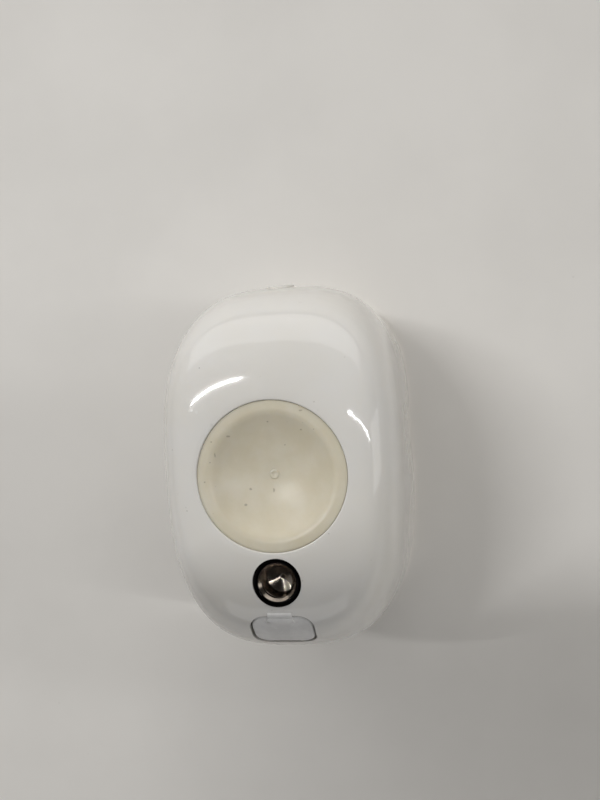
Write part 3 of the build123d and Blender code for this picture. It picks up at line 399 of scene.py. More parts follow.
@dataclass(frozen=True)
class Moulded(Finish):
    """Moulded plastic: grain or gloss, faint mottling and fine scratches."""

    colour: Colour
    rough: float
    grain: float
    grain_depth: float
    coat: float = 0.0
    coat_rough: float = 0.06
    shade: float = 0.9

    def look(self, s: Shader) -> Node:
        """Adds its nodes."""
        mottle = s.noise(14.0, 4.0, 0.6)
        grain = s.noise(self.grain, 2.0, 0.6)
        marks = s.noise(1.4, 3.0, 0.7, 0.4, s.stretched((1.0, 0.2, 1.0), (0.3, 0.2, 0.6)))
        return s.surface(
            s.mix(mottle.ramp(0.35, 0.7), scaled(self.colour, self.shade), self.colour),
            self.rough + (marks - 0.5) * 0.16 + (mottle - 0.5) * 0.1,
            s.relief(grain * 0.8 + marks * 0.2, self.grain_depth),
            {"Coat Weight": self.coat, "Coat Roughness": self.coat_rough},
        )


@dataclass(frozen=True)
class Shell(Finish):
    """The housing's polished plastic: faint flow marks, hair scratches, dust specks, rubbed spots and painted
    shade in the groove round the flap.
    """

    colour: Colour
    wear: float = 1.0
    scuffs: Sequence[Sequence[float]] = ()
    warmth: Colour = (0.975, 0.965, 0.94)
    dust: Colour = srgb(120, 112, 98)
    # Grey of the painted shade in the groove round the flap.
    groove_shade: Colour = srgb(88, 84, 78)
    pocket_half_width: float = 6.3
    pocket_half_length: float = 4.95
    pocket_corner: float = 3.2
    # Where the painted groove shade fades out across the pocket's outline and towards the face.
    groove_shade_edge: tuple[float, float] = (0.04, 0.18)
    groove_shade_front: tuple[float, float] = (-12.0, -11.0)

    def pocket_groove_shade(self, s: Shader) -> Field:
        """Painted shade in the groove round the flap: 1 in the pocket's rounded outline and 0 on the shell.
        """
        x, y, z = s.place(spot(0, INLET_DEEP, INLET_UP))
        along = (y + z) * math.sqrt(0.5)
        over_side = (abs(x) - (self.pocket_half_width - self.pocket_corner)).most(0.0)
        over_end = (abs(along) - (self.pocket_half_length - self.pocket_corner)).most(0.0)
        edge = over_side.hypot(over_end) - self.pocket_corner
        return (1 - edge.ramp(*self.groove_shade_edge)) * y.ramp(*self.groove_shade_front)

    def hairs(self, s: Shader) -> Field:
        """Hair scratches that run two ways."""
        one = s.noise(0.9, 1.0, 0.4, 0.0, s.stretched((1.0, 1.0, 0.05), (0.4, 0.1, 0.7)))
        two = s.noise(0.8, 1.0, 0.4, 0.0, s.stretched((0.05, 1.0, 1.0), (0.2, 0.5, -0.4)))
        return one.ramp(0.7, 0.78).most(two.ramp(0.71, 0.79))

    def look(self, s: Shader) -> Node:
        """Adds its nodes."""
        x, _, z = s.place()
        flow = s.noise(22.0, 3.0, 0.5)
        ripple = s.noise(6.0, 2.0, 0.4)
        patches = s.noise(9.0, 4.0, 0.6).ramp(0.55, 0.75)
        rubbed = (self.hairs(s) * patches * 0.7).most(s.nicks(x, z, self.scuffs)) * self.wear
        specks = s.specks(1.6, (0.05, 0.12), 5.0, (0.6, 0.66), 2.0) * self.wear
        tint = s.mix(flow.ramp(0.3, 0.7), scaled(self.colour, self.warmth), self.colour)
        dusty = s.mix((specks * 0.5 + rubbed * 0.12).least(1.0), tint, self.dust)
        return s.surface(
            # painted shade: the colour darkens towards grey in the groove round the flap's pocket
            s.mix(self.pocket_groove_shade(s) * (0.45 + patches * 0.3), dusty, self.groove_shade),
            0.065 + rubbed * 0.16 + specks * 0.3 + (flow - 0.5) * 0.03,
            s.relief(ripple, 0.002),
            {"IOR": 1.5, **scattering(0.15, (0.0022, 0.002, 0.0017))},
        )


@dataclass(frozen=True)
class Dish(Finish):
    """The yellowed seat of the mount: satin, with nicks, specks and a darker edge."""

    colour: Colour
    depth_tint: Colour = (0.93, 0.91, 0.85)
    edge_tint: Colour = srgb(160, 152, 130)
    dirt: Colour = srgb(110, 96, 76)
    radius: float = 14.5
    marks: Sequence[Sequence[float]] = (
        (8.2, 7.9, 0.5, 0.22),
        (10.9, 4.4, 0.16, 0.6),
        (11.4, 7.0, 0.22, 0.2),
        (0.4, -3.1, 0.25, 0.5),
        (5.8, -5.6, 0.4, 0.3),
        (4.9, -2.7, 0.3, 0.3),
        (-2.3, 5.7, 0.2, 0.2),
        (-5.9, 8.6, 0.25, 0.2),
        (0.5, 10.4, 0.25, 0.18),
        (-6.2, 12.3, 0.5, 0.22),
        (13.1, -0.7, 0.22, 0.22),
        (-12.8, -7.4, 0.3, 0.2),
        (-8.5, -12.3, 0.3, 0.2),
    )

    def look(self, s: Shader) -> Node:
        """Adds its nodes."""
        x, _, z = s.place(spot(0, 0, DISH_UP))
        cloud = s.noise(7.0, 4.0, 0.6)
        nicks = s.noise(0.55, 2.0, 0.5, 0.8, s.stretched((1.0, 1.0, 0.3), (0.0, 0.5, 0.0))).ramp(0.7, 0.76)
        spread = s.noise(4.5, 3.0).ramp(0.52, 0.68)
        worn = (nicks * spread * 0.6).most(s.nicks(x, z, self.marks))
        specks = s.specks(1.3, (0.06, 0.13), 3.5, (0.58, 0.66), 2.0)
        edge = x.hypot(z).ramp(self.radius - 0.5, self.radius + 0.1)
        tint = s.mix(cloud.ramp(0.3, 0.75), scaled(self.colour, self.depth_tint), self.colour)
        ringed = s.mix(edge * 0.3, tint, self.edge_tint)
        return s.surface(
            s.mix((worn * 0.42 + specks * 0.5 + edge * specks).least(1.0), ringed, self.dirt),
            0.38 + (cloud - 0.5) * 0.2 + worn * 0.2,
            s.relief(cloud * 0.5 + s.noise(0.8, 2.0) * 0.12 - worn * 0.5, 0.05),
            scattering(0.2, (0.003, 0.0022, 0.0014)),
        )


@dataclass(frozen=True)
class Turned(Finish):
    """Turned and plated metal with fine rings about an axis along Y, painted near-black past a radius as
    shade round the insert's mouth.
    """

    colour: Colour
    axis_up: float
    rough: float = 0.11
    ring: float = 0.17
    ring_depth: float = 0.005
    ring_lean: float = 0.7
    ring_waver: float = 0.12
    rim_radius: float = 3.72
    rim_blend: float = 0.06
    # Near-black painted shade past the rim radius, on the insert's face and lip.
    rim_shade_colour: Colour = (0.012, 0.011, 0.011)

    def look(self, s: Shader) -> Node:
        """Adds its nodes."""
        x, y, z = s.place(spot(0, 0, self.axis_up))
        out = x.hypot(z)
        phase = out + y * self.ring_lean + s.noise(0.8) * self.ring_waver
        rings = (phase * (math.tau / self.ring)).sine() * 0.5 + 0.5
        stain = s.noise(2.2, 4.0, 0.6)
        rim = out.ramp(self.rim_radius - self.rim_blend, self.rim_radius + self.rim_blend)
        plated = s.mix(stain.ramp(0.35, 0.7), self.colour, scaled(self.colour, 1.35))
        return s.surface(
            # painted shade: near-black past the rim radius
            s.mix(rim, plated, self.rim_shade_colour),
            self.rough + (stain - 0.5) * 0.12,
            s.relief(rings, self.ring_depth),
            {"Metallic": 1.0},
        )


@dataclass(frozen=True)
class Metal(Finish):
    """Drawn, plated or brushed metal."""

    colour: Colour
    rough: float
    brush: Sequence[float] = (1.0, 0.06, 1.0)
    depth: float = 0.006

    def look(self, s: Shader) -> Node:
        """Adds its nodes."""
        brushed = s.noise(0.35, 3.0, 0.6, 0.0, s.stretched(self.brush))
        stain = s.noise(5.0, 4.0, 0.6)
        return s.surface(
            s.mix(stain.ramp(0.3, 0.7), scaled(self.colour, 0.8), self.colour),
            self.rough + (brushed - 0.5) * 0.2 + (stain - 0.5) * 0.12,
            s.relief(brushed, self.depth),
            {"Metallic": 1.0},
        )


@dataclass(frozen=True)
class Rubber(Finish):
    """Soft rubber: fine grain, a bloom and lint."""

    colour: Colour
    rough: float
    lint: float = 1.0
    lint_colour: Colour = srgb(140, 134, 124)

    def look(self, s: Shader) -> Node:
        """Adds its nodes."""
        grain = s.noise(0.25, 2.0, 0.6)
        bloom = s.noise(4.0, 4.0, 0.65)
        lint = s.specks(0.9, (0.04, 0.11), 2.5, (0.56, 0.64)) * self.lint
        tint = s.mix(bloom.ramp(0.35, 0.7), self.colour, scaled(self.colour, 1.12, 0.01))
        return s.surface(
            s.mix(lint * 0.6, tint, self.lint_colour),
            self.rough + (bloom - 0.5) * 0.16 + lint * 0.2,
            s.relief(grain, 0.01),
        )


@dataclass(frozen=True)
class FacePlate(Finish):
    """The black face: polished, with a dark see-through depth, smudges and dust."""

    colour: Colour
    smudge_colour: Colour = srgb(38, 39, 43)
    dust_colour: Colour = srgb(150, 150, 146)

    def look(self, s: Shader) -> Node:
        """Adds its nodes."""
        smudge = s.noise(13.0, 5.0, 0.6, 0.6).ramp(0.48, 0.75)
        dust = s.specks(1.5, (0.03, 0.08), 6.0, (0.5, 0.62))
        tint = s.mix(smudge * 0.25, self.colour, self.smudge_colour)
        return s.surface(
            s.mix(dust * 0.4, tint, self.dust_colour),
            0.06 + smudge * 0.12 + dust * 0.3,
            s.relief(s.noise(9.0, 2.0), 0.006),
            {"Coat Weight": 1.0, "Coat Roughness": 0.02},
        )


@dataclass(frozen=True)
class Facets(Finish):
    """The motion sensor's lens: rings of small facets in milky plastic, with painted shade along the creases.
    """

    colour: Colour
    centre_up: float = -22.0
    ring: float = 1.5
    parts: float = 14.0
    shift: float = 50.0

    def look(self, s: Shader) -> Node:
        """Adds its nodes."""
        x, _, z = s.place(spot(0, 0, self.centre_up))
        rings = (x.hypot(z) + self.shift).wave(self.ring)
        spokes = (z.angle(x) * (self.parts / math.tau) + self.shift).wave(1.0)
        crease = rings.least(spokes).ramp(0.0, 0.35)
        cloud = s.noise(2.0, 3.0)
        return s.surface(
            # painted shade: the colour darkens along the creases between facets
            s.mix(crease * 0.8 + cloud * 0.2, scaled(self.colour, 0.82), self.colour),
            0.34 + (1 - crease) * 0.2,
            s.relief(crease + cloud * 0.1, 0.06),
            scattering(0.4, (0.002, 0.002, 0.002)),
        )


@dataclass(frozen=True)
class Coated(Finish):
    """Coated optical glass: nearly clear in the middle, with a painted sheen of the coating's reflection
    towards the rim, and clear past it.
    """

    body: Colour
    # Colour of the coating's reflection, painted into the base colour towards the rim.
    sheen: Colour
    radius: float = 3.7
    speck_colour: Colour = srgb(170, 170, 170)
    coat_tint: Sequence[float] = (0.75, 0.85, 1.0, 1.0)

    def look(self, s: Shader) -> Node:
        """Adds its nodes."""
        x, _, z = s.place(spot(0, 0, LENS_UP))
        out = x.hypot(z) / self.radius
        # painted reflection: the base colour turns to the sheen towards the rim
        lens = s.mix(out.ramp(0.15, 0.95), self.body, self.sheen)
        past = out.ramp(0.93, 1.08)
        specks = s.specks(0.8, (0.03, 0.07), 3.0, (0.55, 0.65))
        cover = (1 - past) * (0.16 + out.ramp(0.2, 0.95) * 0.24)
        more = {
            "Coat Weight": 1.0,
            "Coat Roughness": 0.01,
            "Coat Tint": self.coat_tint,
            "IOR": 1.6,
            "Alpha": (cover + specks * 0.5 + 0.1).least(1.0),
        }
        tint = s.mix(past, lens, self.body)
        return s.surface(s.mix(specks * 0.3, tint, self.speck_colour), 0.03 + specks * 0.3, more=more)


@dataclass(frozen=True)
class Clear(Finish):
    """Clear glass or plastic, with faint specks."""

    colour: Colour
    rough: float
    through: float
    speck_colour: Colour = srgb(190, 190, 186)

    def look(self, s: Shader) -> Node:
        """Adds its nodes."""
        specks = s.specks(1.2, (0.03, 0.08), 4.0, (0.55, 0.65))
        smear = s.noise(6.0, 4.0, 0.6).ramp(0.5, 0.8)
        return s.surface(
            s.mix(specks * 0.4, self.colour, self.speck_colour),
            self.rough + specks * 0.3 + smear * 0.05,
            more={"Transmission Weight": self.through, "IOR": 1.49},
        )


@dataclass(frozen=True)
class Board(Finish):
    """Circuit board: solder mask over copper runs, with pads."""

    colour: Colour
    run_pitch: float = 0.9
    run_edge: tuple[float, float] = (0.5, 0.62)
    shift: float = 80.0
    pad_colour: Colour = srgb(206, 200, 182)

    def runs(self, along: Field) -> Field:
        """Parallel copper runs that follow one another along a coordinate."""
        return (along + self.shift).wave(self.run_pitch).ramp(*self.run_edge)

    def look(self, s: Shader) -> Node:
        """Adds its nodes."""
        x, _, z = s.place()
        zone = s.cells(5.5, 0.8).ramp(0.45, 0.5)
        runs = self.runs(x) * zone + self.runs(z) * (1 - zone)
        plane = s.noise(9.0, 2.0).ramp(0.5, 0.53)
        pads = s.specks(2.1, (0.13, 0.17), 6.0, (0.46, 0.52), loose=0.55)
        mask = s.mix((runs * 0.8).most(plane * 0.6), self.colour, scaled(self.colour, 1.7, 0.01))
        return s.surface(
            s.mix(pads, mask, self.pad_colour),
            0.32 + pads * 0.06 + (s.noise(1.0) - 0.5) * 0.1,
            s.relief((runs * 0.5).most(pads), 0.03),
            {"Metallic": pads * 0.9, "Coat Weight": 0.4, "Coat Roughness": 0.2},
        )


@dataclass(frozen=True)
class Foil(Finish):
    """Copper runs of a flat aerial on brown film."""

    film: Colour
    copper: Colour
    band_pitch: float = 3.0
    side_pitch: float = 8.0
    shift: float = 60.0

    def look(self, s: Shader) -> Node:
        """Adds its nodes."""
        _, y, z = s.place()
        bands = (z + self.shift).wave(self.band_pitch).ramp(0.42, 0.52)
        sides = (y + self.shift).wave(self.side_pitch).ramp(0.7, 0.78)
        runs = bands.most(sides)
        return s.surface(
            s.mix(runs, self.film, self.copper),
            0.4 - runs * 0.1 + (s.noise(0.8) - 0.5) * 0.1,
            s.relief(runs + s.noise(0.6) * 0.1, 0.03),
            {"Metallic": runs * 0.9},
        )


@dataclass(frozen=True)
class Foam(Finish):
    """Open foam or felt: pits and fibres, with painted shade in the pits."""

    colour: Colour

    def look(self, s: Shader) -> Node:
        """Adds its nodes."""
        pits = s.cells(0.35)
        fuzz = s.noise(0.5, 4.0, 0.7)
        return s.surface(
            # painted shade: the colour is darkest in the pits and lighter between them
            s.mix(pits.ramp(0.1, 0.7), self.colour, scaled(self.colour, 2.2, 0.02)),
            0.9 - fuzz * 0.1,
            s.relief(pits + fuzz * 0.3, 0.12),
        )


FINISHES = (
    Shell(
        "shell_white",
        srgb(232, 230, 226),
        scuffs=((15.2, 33.6, 0.9, 0.25), (13.9, 33.2, 0.4, 0.2), (11.0, 30.6, 0.5, 0.5)),
    ),
    Shell("frame_white", srgb(231, 229, 225), 0.6),
    Shell("button_white", srgb(233, 231, 227), 0.5),
    Dish("bowl_cream", srgb(223, 216, 198)),
    Metal("steel_plate", srgb(190, 190, 192), 0.35),
    Turned("dark_nickel", srgb(148, 139, 129), INSERT_UP),
    Rubber("flap_rubber", srgb(222, 221, 220), 0.38),
    FacePlate("face_black", srgb(9, 9, 11)),
    Foam("adhesive_grey", srgb(120, 120, 120)),
    Coated("lens_glass", srgb(8, 8, 14), srgb(34, 22, 58)),
    Moulded("lens_black", srgb(28, 28, 29), 0.5, 0.3, 0.02),
    Facets("pir_white", srgb(228, 228, 226)),
    Metal("metal_can", srgb(205, 202, 194), 0.28),
    Board("board_green", srgb(24, 84, 52)),
    Moulded("chip_black", srgb(34, 34, 36), 0.55, 0.2, 0.015),
    Clear("led_clear", srgb(240, 238, 228), 0.08, 0.7),
    Rubber("thermal_blue", srgb(150, 180, 205), 0.6),
    Metal("heat_aluminium", srgb(214, 216, 218), 0.3),
    Metal("screw_steel", srgb(186, 188, 190), 0.26, (1.0, 1.0, 1.0)),
    Moulded("chassis_grey", srgb(66, 67, 70), 0.55, 0.45, 0.04),
    Metal("gold", srgb(226, 184, 98), 0.22),
    Moulded("battery_white", srgb(226, 226, 224), 0.32, 0.8, 0.012, 0.3),
    Foil("aerial_foil", srgb(92, 60, 30), srgb(214, 148, 96)),
    Rubber("coax_black", srgb(30, 30, 31), 0.45, 0.4),
    Moulded("speaker_black", srgb(32, 32, 33), 0.5, 0.3, 0.03),
    Foam("foam_black", srgb(30, 30, 31)),
    Rubber("wire_red", srgb(168, 36, 30), 0.42, 0.3),
    Rubber("gasket_grey", srgb(120, 120, 122), 0.55),
    Metal("spring_steel", srgb(196, 197, 200), 0.24),
    Coated("filter_coat", srgb(18, 40, 46), srgb(60, 120, 120), 2.4),
)


# Making and keeping pieces


def settle(mesh: BMesh, name: str, material: bpy.types.Material) -> bpy.types.Object:
    """Turns a bmesh, which is freed, into an object of the scene with one material."""
    data = bpy.data.meshes.new(name)
    mesh.to_mesh(data)
    mesh.free()
    data.materials.append(material)
    piece = bpy.data.objects.new(name, data)
    bpy.context.scene.collection.objects.link(piece)
    return piece


def shade_smooth(data: bpy.types.Mesh) -> None:
    """Smooths the shading of all faces."""
    data.polygons.foreach_set("use_smooth", [True] * len(data.polygons))


@dataclass
class Workshop:
    """Holds the finished materials and turns bmeshes into pieces."""

    materials: dict[str, bpy.types.Material]
    made: int = 0

    def dress_nodes(self) -> None:
        """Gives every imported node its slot's finish and smooth shading with crisp edges."""
        slots = {part["node"]: part["material_slot"] for part in frame["record"]["subparts"]}
        for name, node in frame["nodes"].items():
            material = self.materials[slots[name]]
            if not node.data.materials:
                node.data.materials.append(material)
            for slot in node.material_slots:
                slot.material = material
            self.smooth(node)
            LOG.info("node %s gets %s", name, material.name)

    def smooth(self, node: bpy.types.Object) -> None:
        """Joins a node's loose triangles and smooths all but its sharp edges."""
        join = node.modifiers.new("join", "WELD")
        join.merge_threshold = NODE_WELD * MM
        crisp = node.modifiers.new("crisp", "EDGE_SPLIT")
        crisp.split_angle = math.radians(CRISP_ANGLE)
        shade_smooth(node.data)
        node.data.update()

    def keep(
        self,
        mesh: BMesh,
        name: str,
        body: Body,
        slot: str,
        angle: float = CRISP_ANGLE,
        recalculate: bool = True,
    ) -> bpy.types.Object:
        """Finishes a piece.

        Args:
            mesh: Its bmesh, which is freed.
            name: The piece's name.
            body: The body that it rides on.
            slot: The record's slot that it takes its finish from.
            angle: Edges bent by more degrees than this stay crisp.
            recalculate: Whether its normals are turned outwards.

        Returns:
            The object.
        """
        bmesh.ops.remove_doubles(mesh, verts=mesh.verts[:], dist=PIECE_WELD * MM)
        if recalculate:
            bmesh.ops.recalc_face_normals(mesh, faces=mesh.faces[:])
        for edge in mesh.edges:
            if len(edge.link_faces) == 2:
                edge.smooth = edge.calc_face_angle(0.0) < math.radians(angle)
        piece = settle(mesh, name, self.materials[slot])
        shade_smooth(piece.data)
        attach(piece, body.value)
        self.made += 1
        LOG.info("piece %s, %d faces, rides on %s", name, len(piece.data.polygons), body.value)
        return piece


def block(mesh: BMesh, centre: Vector, size: Sequence[float], bevel: float, segments: int) -> None:
    """Adds a block with softened edges.

    Args:
        mesh: The bmesh that it joins.
        centre: Its middle, in metres.
        size: Its sides along x, y and z in millimetres.
        bevel: Width of its softened edges in millimetres.
        segments: Steps of each softened edge.
    """
    scale = Matrix.Diagonal((size[0] * MM, size[1] * MM, size[2] * MM, 1.0))
    made = bmesh.ops.create_cube(mesh, size=1.0, matrix=Matrix.Translation(centre) @ scale)["verts"]
    bmesh.ops.bevel(
        mesh,
        geom=list(dict.fromkeys(edge for vert in made for edge in vert.link_edges)),
        offset=bevel * MM,
        offset_type="OFFSET",
        segments=segments,
        profile=0.5,
        affect="EDGES",
        material=-1,
        clamp_overlap=True,
    )


def turned(outline: Pairs, centre: tuple[float, float], steps: int) -> BMesh:
    """Spins an outline about an axis along Y.

    Args:
        outline: Points as (radius, depth) in millimetres.
        centre: The axis as (x, up) in millimetres.
        steps: Steps of the full turn.

    Returns:
        The bmesh.
    """
    mesh = bmesh.new()
    points = [mesh.verts.new(spot(centre[0] + radius, deep, centre[1])) for radius, deep in outline]
    edges = [mesh.edges.new(pair) for pair in zip(points, points[1:])]
    bmesh.ops.spin(
        mesh,
        geom=points + edges,
        cent=spot(centre[0], 0, centre[1]),
        axis=(0.0, 1.0, 0.0),
        angle=math.tau,
        steps=steps,
        use_merge=True,
        use_duplicate=False,
    )
    return mesh


# Sub-assemblies


@dataclass
class InsertDetail:
    """The insert's turns of thread and its rounded lip."""

    root_radius: float = 3.175
    crest_radius: float = 2.75
    pitch: float = 1.27
    root_share: float = 0.42
    crest_half: float = 0.06
    start: float = 64.75
    turns: int = 3
    steps: int = 40
    lip_radius: float = 4.22
    lip_half: float = 0.5
    lip_foot: float = 69.45
    lip_proud: float = 0.17
    lip_arcs: int = 12
    lip_steps: int = 96

    def thread(self, shop: Workshop) -> None:
        """Winds one ridge round the bore."""
        mesh = bmesh.new()
        root_half = self.pitch * self.root_share
        corners = (
            (self.root_radius, -root_half),
            (self.crest_radius, -self.crest_half),
            (self.crest_radius, self.crest_half),
            (self.root_radius, root_half),
        )
        ring = [mesh.verts.new(spot(out, self.start + along, INSERT_UP)) for out, along in corners]
        face = mesh.faces.new(ring)
        bmesh.ops.spin(
            mesh,
            geom=[face, *face.verts[:], *face.edges[:]],
            cent=spot(0, 0, INSERT_UP),
            axis=(0.0, 1.0, 0.0),
            dvec=(0.0, self.pitch * MM / self.steps, 0.0),
            angle=math.tau * self.turns,
            steps=self.steps * self.turns,
            use_merge=False,
            use_duplicate=False,
        )
        shop.keep(mesh, "insert_thread", Body.HOUSING, "dark_nickel", 50.0)

    def lip(self, shop: Workshop) -> None:
        """Turns the rounded lip round the insert's face."""
        outline = []
        for step in range(self.lip_arcs + 1):
            turn = math.pi * step / self.lip_arcs
            out = self.lip_radius + self.lip_half * math.cos(turn)
            outline.append((out, self.lip_foot + self.lip_proud * math.sin(turn)))
        mesh = turned(outline, (0.0, INSERT_UP), self.lip_steps)
        shop.keep(mesh, "insert_lip", Body.HOUSING, "dark_nickel", 60.0)

    def build(self, shop: Workshop) -> None:
        """Makes its pieces."""
        self.thread(shop)
        self.lip(shop)


@dataclass
class DishDetail:
    """The gate mark in the middle of the dish. Its profile gives shares of the radius and heights."""

    x: float = 0.2
    floor: float = 65.75
    radius: float = 0.95
    profile: Pairs = (
        (0.0, 0.05),
        (0.45, 0.06),
        (0.62, 0.2),
        (0.8, 0.24),
        (0.97, 0.14),
        (1.08, -0.03),
    )
    steps: int = 40

    def build(self, shop: Workshop) -> None:
        """Turns a small raised ring with a dimple."""
        outline = [(self.radius * share, self.floor + height) for share, height in self.profile]
        mesh = turned(outline, (self.x, DISH_UP), self.steps)
        shop.keep(mesh, "dish_gate_mark", Body.HOUSING, "bowl_cream", 70.0)


@dataclass
class LensDetail:
    """Steps in the lens mouth, the lens dome and its ring."""

    mouth: float = 7.73
    throat: float = 4.7
    start: float = 1.2
    end: float = 4.75
    steps: int = 6
    tread_fall: float = 0.04
    mouth_turns: int = 96
    dome_radius: float = 3.45
    dome_rim: float = 4.26
    dome_height: float = 0.95
    dome_arcs: int = 12
    ring_outline: Pairs = (
        (3.35, 4.25),
        (3.45, 3.95),
        (3.7, 3.86),
        (4.3, 3.9),
        (4.45, 4.02),
        (4.48, 4.3),
    )
    glass_turns: int = 72

    def mouth_steps(self, shop: Workshop) -> None:
        """Turns the stepped baffle in the bezel's cone."""
        outline = []
        tread = (self.mouth - self.throat) / self.steps
        for step in range(self.steps):
            out = self.mouth - tread * step
            deep = self.start + (self.end - self.start) * step / self.steps
            outline += [(out, deep), (out - tread, deep + self.tread_fall)]
        outline.append((self.throat, self.end))
        mesh = turned(outline, (0.0, LENS_UP), self.mouth_turns)
        shop.keep(mesh, "lens_mouth_steps", Body.MODULE, "lens_black", 30.0, recalculate=False)

    def dome(self, shop: Workshop) -> None:
        """Turns the front element's dome."""
        outline = []
        for step in range(self.dome_arcs + 1):
            turn = step / self.dome_arcs * math.pi / 2
            deep = self.dome_rim - self.dome_height * math.cos(turn)
            outline.append((self.dome_radius * math.sin(turn), deep))
        mesh = turned(outline, (0.0, LENS_UP), self.glass_turns)
        shop.keep(mesh, "lens_dome", Body.MODULE, "lens_glass", 80.0)

    def ring(self, shop: Workshop) -> None:
        """Turns the retaining ring round the dome."""
        mesh = turned(self.ring_outline, (0.0, LENS_UP), self.glass_turns)
        shop.keep(mesh, "lens_ring", Body.MODULE, "lens_black", 40.0)

    def build(self, shop: Workshop) -> None:
        """Makes its pieces."""
        self.mouth_steps(shop)
        self.dome(shop)
        self.ring(shop)


@dataclass
class ScrewDrives:
    """Cross recesses drawn as dark inlays in the screw heads: painted shade that stands for the recesses."""

    reach: float = 1.1
    arm: float = 0.42
    height: float = 0.06
    proud_share: float = 0.3
    bevel: float = 0.02
    case_face: float = 33.3
    case: Pairs = ((-11.0, 31.2), (11.0, 31.2), (-15.0, -27.6), (15.0, -27.6))
    board_face: float = 25.2
    board: Pairs = ((-12.0, 20.0), (12.0, 20.0), (-12.0, -14.0), (12.0, -14.0))

    def crosses(self, shop: Workshop, name: str, deep: float, facing: Facing, heads: Pairs) -> None:
        """Adds one dark cross on each head, painted shade for the recess. Their faces are at one depth, and
        their middles are (x, up).
        """
        mesh = bmesh.new()
        for x, up in heads:
            centre = spot(x, deep + facing.value * self.height * self.proud_share, up)
            block(mesh, centre, (2 * self.reach, self.height, self.arm), self.bevel, 1)
            block(mesh, centre, (self.arm, self.height, 2 * self.reach), self.bevel, 1)
        shop.keep(mesh, name, Body.MODULE, "chip_black")

    def build(self, shop: Workshop) -> None:
        """Makes the crosses of the case screws and of the board screws."""
        self.crosses(shop, "case_screw_recess_shade", self.case_face, Facing.BACK, self.case)
        self.crosses(shop, "board_screw_recess_shade", self.board_face, Facing.FRONT, self.board)


@dataclass
class BoardParts:
    """Small parts soldered on the boards, whose faces stand at the given depths."""

    main_front: float = 26.0
    main_back: float = 27.2
    sensor_back: float = 24.0
    motion_back: float = 12.2
    small: Sequence[float] = (0.8, 1.6, 0.6)
    tiny: Sequence[float] = (1.2, 0.6, 0.45)
    bevel_share: float = 0.12

    def fill(
        self, shop: Workshop, name: str, slot: str, deep: float, facing: Facing, spots: Rows
    ) -> None:
        """Solders blocks, given as (x, up, width, length, thickness), on a board's face at one depth."""
        mesh = bmesh.new()
        for x, up, wide, long, thick in spots:
            centre = spot(x, deep + facing.value * thick / 2, up)
            block(mesh, centre, (wide, thick, long), min(wide, long, thick) * self.bevel_share, 1)
        shop.keep(mesh, name, Body.MODULE, slot)

    @staticmethod
    def rows(x: Sequence[float], up: Sequence[float], size: Sequence[float]) -> list[tuple[float, ...]]:
        """Spots of one kind of part on a grid of sides and heights."""
        return [(side, height, *size) for side in x for height in up]

    def build(self, shop: Workshop) -> None:
        """Makes the parts of the main, sensor and motion boards."""
        front = self.rows((-15.4, -13.8, 13.8, 15.4), (6.0, 2.5, -1.0, -4.5, -8.0), self.small)
        front += self.rows((-6.0, -2.0, 2.0, 6.0), (-18.0, -20.0), self.tiny)
        self.fill(shop, "main_board_small_parts", "metal_can", self.main_front, Facing.FRONT, front)
        chips = ((-13.6, -24.5, 4.0, 4.0, 1.0), (5.0, -24.0, 6.0, 4.0, 1.0), (-6.0, -24.0, 3.0, 3.0, 0.9))
        self.fill(shop, "main_board_chips", "chip_black", self.main_front, Facing.FRONT, chips)
        back = self.rows((-14.6, 14.6), (16.0, 13.6, 5.0, 2.0, -1.0, -4.0), self.small)
        self.fill(shop, "main_board_rear_parts", "metal_can", self.main_back, Facing.BACK, back)
        sensor = self.rows((-7.5, 7.5), (17.5, 15.5, 8.5, 6.5), self.tiny)
        self.fill(shop, "sensor_board_parts", "metal_can", self.sensor_back, Facing.BACK, sensor)
        motion = self.rows((-4.0, -1.5, 1.5, 4.0), (-17.5, -26.5), self.tiny)
        self.fill(shop, "motion_board_parts", "metal_can", self.motion_back, Facing.BACK, motion)


@dataclass
class Bars:
    """A row of equal blocks that make one piece.

    Attributes:
        first: Side, depth and height of the first block's middle.
        step: What the next one adds to these three.
    """

    name: str
    body: Body
    slot: str
    first: Sequence[float]
    step: Sequence[float]
    count: int
    size: Sequence[float]
    bevel: float
    segments: int

    def build(self, shop: Workshop) -> None:
        """Makes the piece."""
        mesh = bmesh.new()
        for place in range(self.count):
            centre = spot(*(start + place * more for start, more in zip(self.first, self.step)))
            block(mesh, centre, self.size, self.bevel, self.segments)
        shop.keep(mesh, self.name, self.body, self.slot)


@dataclass
class LatchCoil:
    """The latch's coil spring."""

    deep: float = 10.8
    roof: float = -31.4
    kept_share: float = 0.53

    def build(self, shop: Workshop) -> None:
        """Copies the coil, hides the imported spring and gives the copy its own mesh."""
        mesh = bmesh.new()
        mesh.from_mesh(frame["nodes"]["latch_spring"].data)
        coil = shop.keep(mesh, "latch_coil", Body.MODULE, "spring_steel", 60.0, recalculate=False)
        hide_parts("latch_spring")
        anchor = tuple(spot(0, self.deep, self.roof))
        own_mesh(coil)


# What Bars takes after the slot.
CONTACTS = ((-1.3, 57.7, -28.47), (0.65, 0.0, 0.0), 5, (0.3, 3.4, 0.06), 0.02, 1)
BATTERY_BARS = ((0.0, 56.55, -12.0), (0.0, 0.0, -1.8), 4, (14.0, 0.5, 0.8), 0.2, 3)
LATCH_BARS = ((0.0, 9.6, -39.65), (0.0, 1.2, 0.0), 3, (6.4, 0.5, 0.4), 0.15, 3)
CLOTH = ((0.0, 23.5, -35.45), (0.0, 0.0, 0.0), 1, (13.6, 5.6, 0.14), 0.06, 2)

DETAILS = (
    InsertDetail(),
    DishDetail(),
    LensDetail(),
    ScrewDrives(),
    BoardParts(),
    Bars("inlet_contacts", Body.MODULE, "gold", *CONTACTS),
    Bars("battery_grip_bars", Body.BATTERY, "battery_white", *BATTERY_BARS),
    Bars("latch_grip_bars", Body.LATCH, "frame_white", *LATCH_BARS),
    LatchCoil(),
    Bars("speaker_cloth", Body.MODULE, "foam_black", *CLOTH),
)


# Table, lamps and viewpoint


